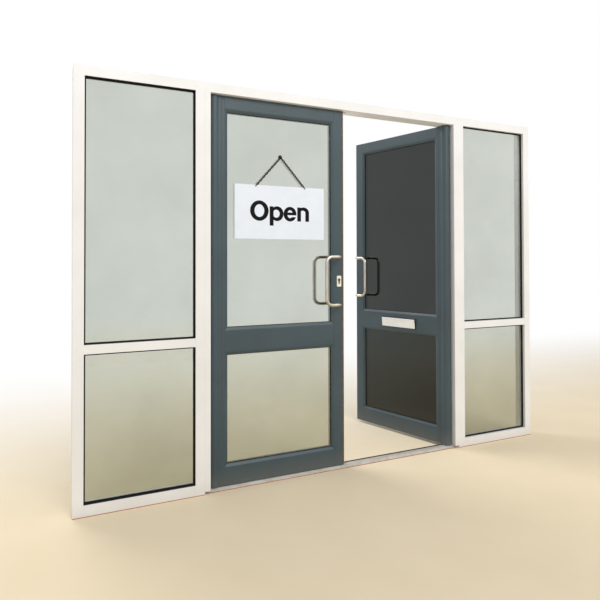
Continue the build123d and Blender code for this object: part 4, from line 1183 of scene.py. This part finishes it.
@dataclass
class Studio:
    """Plain pale floor, pale surround, soft lamps and the photograph's camera. Sizes in metres."""

    floor_colour: str = "#EFE0C4"
    floor_patch: str = "#E6D6B8"
    floor_mottle: float = 0.35
    floor_half: float = 16.0
    floor_drop: float = 0.0005
    fade_behind: Span = (-0.4, 4.0)
    fade_far: Span = (4.0, 10.0)
    white: str = "#FFFFFF"
    ambient_colour: str = "#FFFEFC"
    ambient: float = 0.6
    lamps: tuple[Lamp, ...] = (
        Lamp("key_lamp", at=(0.4, -8.6, 7.4), aim=(0.1, 0.0, 0.9), size=4.5, power=422.0),
        Lamp("fill_lamp", at=(3.0, -4.4, 5.2), aim=(0.4, 0.0, 0.5), size=3.0, power=40.0),
        Lamp("inside_lamp", at=(-2.2, 3.4, 5.2), aim=(0.7, 0.3, 0.6), size=3.0, power=150.0),
    )
    sensor_mm: float = 36.0
    focal_px: float = 550.72
    image_px: float = 600.0
    middle_px: Span = (298.83, 255.06)
    camera_at: Point = (-1.6445, -2.8768, 1.2109)
    yaw_pitch_roll: Point = (25.318, 0.816, -0.134)

    def build(self) -> None:
        """Make the floor, surround, lamps and camera."""
        self.add_floor()
        self.add_world()
        for lamp in self.lamps:
            lamp.hang()
        self.add_camera()

    def add_floor(self) -> None:
        """Lay a pale floor that fades into the white surround behind the screen and far out."""
        shape = bmesh.new()
        flat = Matrix.Translation((0, 0, -self.floor_drop))
        bmesh.ops.create_grid(shape, x_segments=2, y_segments=2, size=self.floor_half, matrix=flat)
        mesh = bpy.data.meshes.new("floor")
        shape.to_mesh(mesh)
        shape.free()
        mesh.materials.append(self.floor_material())
        floor = bpy.data.objects.new("floor", mesh)
        bpy.context.scene.collection.objects.link(floor)

    def floor_material(self) -> bpy.types.Material:
        """Make the floor's trowelled screed: pale, finely mottled, fading to white far out.

        Returns:
            The material.
        """
        material = bpy.data.materials.new("pale_screed")
        tree = empty_tree(material)
        place = add_node(tree, "ShaderNodeTexCoord").outputs["Object"]
        mottle = add_node(
            tree, "ShaderNodeTexNoise", {"Scale": 1 / self.floor_mottle, "Detail": 6.0}, {"Vector": place},
        ).outputs["Fac"]
        near, patch = linear(self.floor_colour), linear(self.floor_patch)
        tone = add_node(
            tree, "ShaderNodeMix", {"data_type": "RGBA", "A_Color": near, "B_Color": patch},
            {"Factor_Float": mottle},
        ).outputs[2]
        ground = add_node(tree, "ShaderNodeBsdfDiffuse", {}, {"Color": tone}).outputs["BSDF"]
        white = add_node(
            tree, "ShaderNodeEmission", {"Color": linear(self.white), "Strength": 1.0},
        ).outputs["Emission"]
        behind = add_node(tree, "ShaderNodeSeparateXYZ", {}, {"Vector": place}).outputs["Y"]
        far = add_node(
            tree, "ShaderNodeVectorMath", {"operation": "LENGTH"}, {"Vector": place},
        ).outputs["Value"]
        fades = [
            add_node(
                tree, "ShaderNodeMapRange",
                {"interpolation_type": "SMOOTHSTEP", "From Min": start, "From Max": end},
                {"Value": distance},
            ).outputs["Result"]
            for distance, (start, end) in ((behind, self.fade_behind), (far, self.fade_far))
        ]
        fade = add_node(
            tree, "ShaderNodeMath", {"operation": "MAXIMUM"}, {"Value": fades[0], "Value_001": fades[1]},
        ).outputs[0]
        mixed = add_node(
            tree, "ShaderNodeMixShader", {}, {"Fac": fade, "Shader": ground, "Shader_001": white},
        ).outputs["Shader"]
        add_node(tree, "ShaderNodeOutputMaterial", {}, {"Surface": mixed})
        return material

    def add_world(self) -> None:
        """Make a surround that looks white and lights the object softly."""
        world = bpy.data.worlds.new("pale_surround")
        tree = empty_tree(world)
        rays = add_node(tree, "ShaderNodeLightPath").outputs
        seen = rays["Is Camera Ray"]
        for kind in ("Is Glossy Ray", "Is Transmission Ray"):
            seen = add_node(
                tree, "ShaderNodeMath", {"operation": "MAXIMUM"}, {"Value": seen, "Value_001": rays[kind]},
            ).outputs[0]
        tones = ((self.ambient_colour, self.ambient), (self.white, 1.0))
        lit, shown = (
            add_node(tree, "ShaderNodeBackground", {"Color": linear(tone), "Strength": power}).outputs[0]
            for tone, power in tones
        )
        mixed = add_node(
            tree, "ShaderNodeMixShader", {}, {"Fac": seen, "Shader": lit, "Shader_001": shown},
        ).outputs["Shader"]
        add_node(tree, "ShaderNodeOutputWorld", {}, {"Surface": mixed})
        bpy.context.scene.world = world

    def add_camera(self) -> None:
        """Stand the camera where the photograph was taken."""
        yaw, pitch, roll = (math.radians(angle) for angle in self.yaw_pitch_roll)
        ahead = Vector((math.sin(yaw) * math.cos(pitch), math.cos(yaw) * math.cos(pitch), math.sin(pitch)))
        level = Vector((math.cos(yaw), -math.sin(yaw), 0))
        upward = level.cross(ahead)
        right = level * math.cos(roll) + upward * math.sin(roll)
        top = upward * math.cos(roll) - level * math.sin(roll)
        turn = Matrix((right, top, -ahead)).transposed().to_4x4()
        lens = bpy.data.cameras.new("camera")
        lens.sensor_fit = "HORIZONTAL"
        lens.sensor_width = self.sensor_mm
        lens.lens = self.focal_px / self.image_px * self.sensor_mm
        half = self.image_px / 2
        lens.shift_x = (half - self.middle_px[0]) / self.image_px
        lens.shift_y = (self.middle_px[1] - half) / self.image_px
        camera = bpy.data.objects.new("camera", lens)
        camera.matrix_world = Matrix.Translation(self.camera_at) @ turn
        bpy.context.scene.collection.objects.link(camera)
        bpy.context.scene.camera = camera
        bpy.context.scene.view_settings.view_transform = "Standard"


def main() -> None:
    """Build the looks of every sub-assembly in order, then the studio."""
    logging.basicConfig(level=logging.INFO, format="%(message)s")
    rack = FinishRack()
    left = Leaf(rack, Side.LEFT)
    right = Leaf(rack, Side.RIGHT)
    Screen(rack).build()
    left.build()
    right.build()
    Lock(rack, left, right).build()
    LetterPlate(rack).build()
    HangingSign(rack).build()
    SignWord(rack).build()
    Studio().build()


if __name__ == "__main__":
    main()
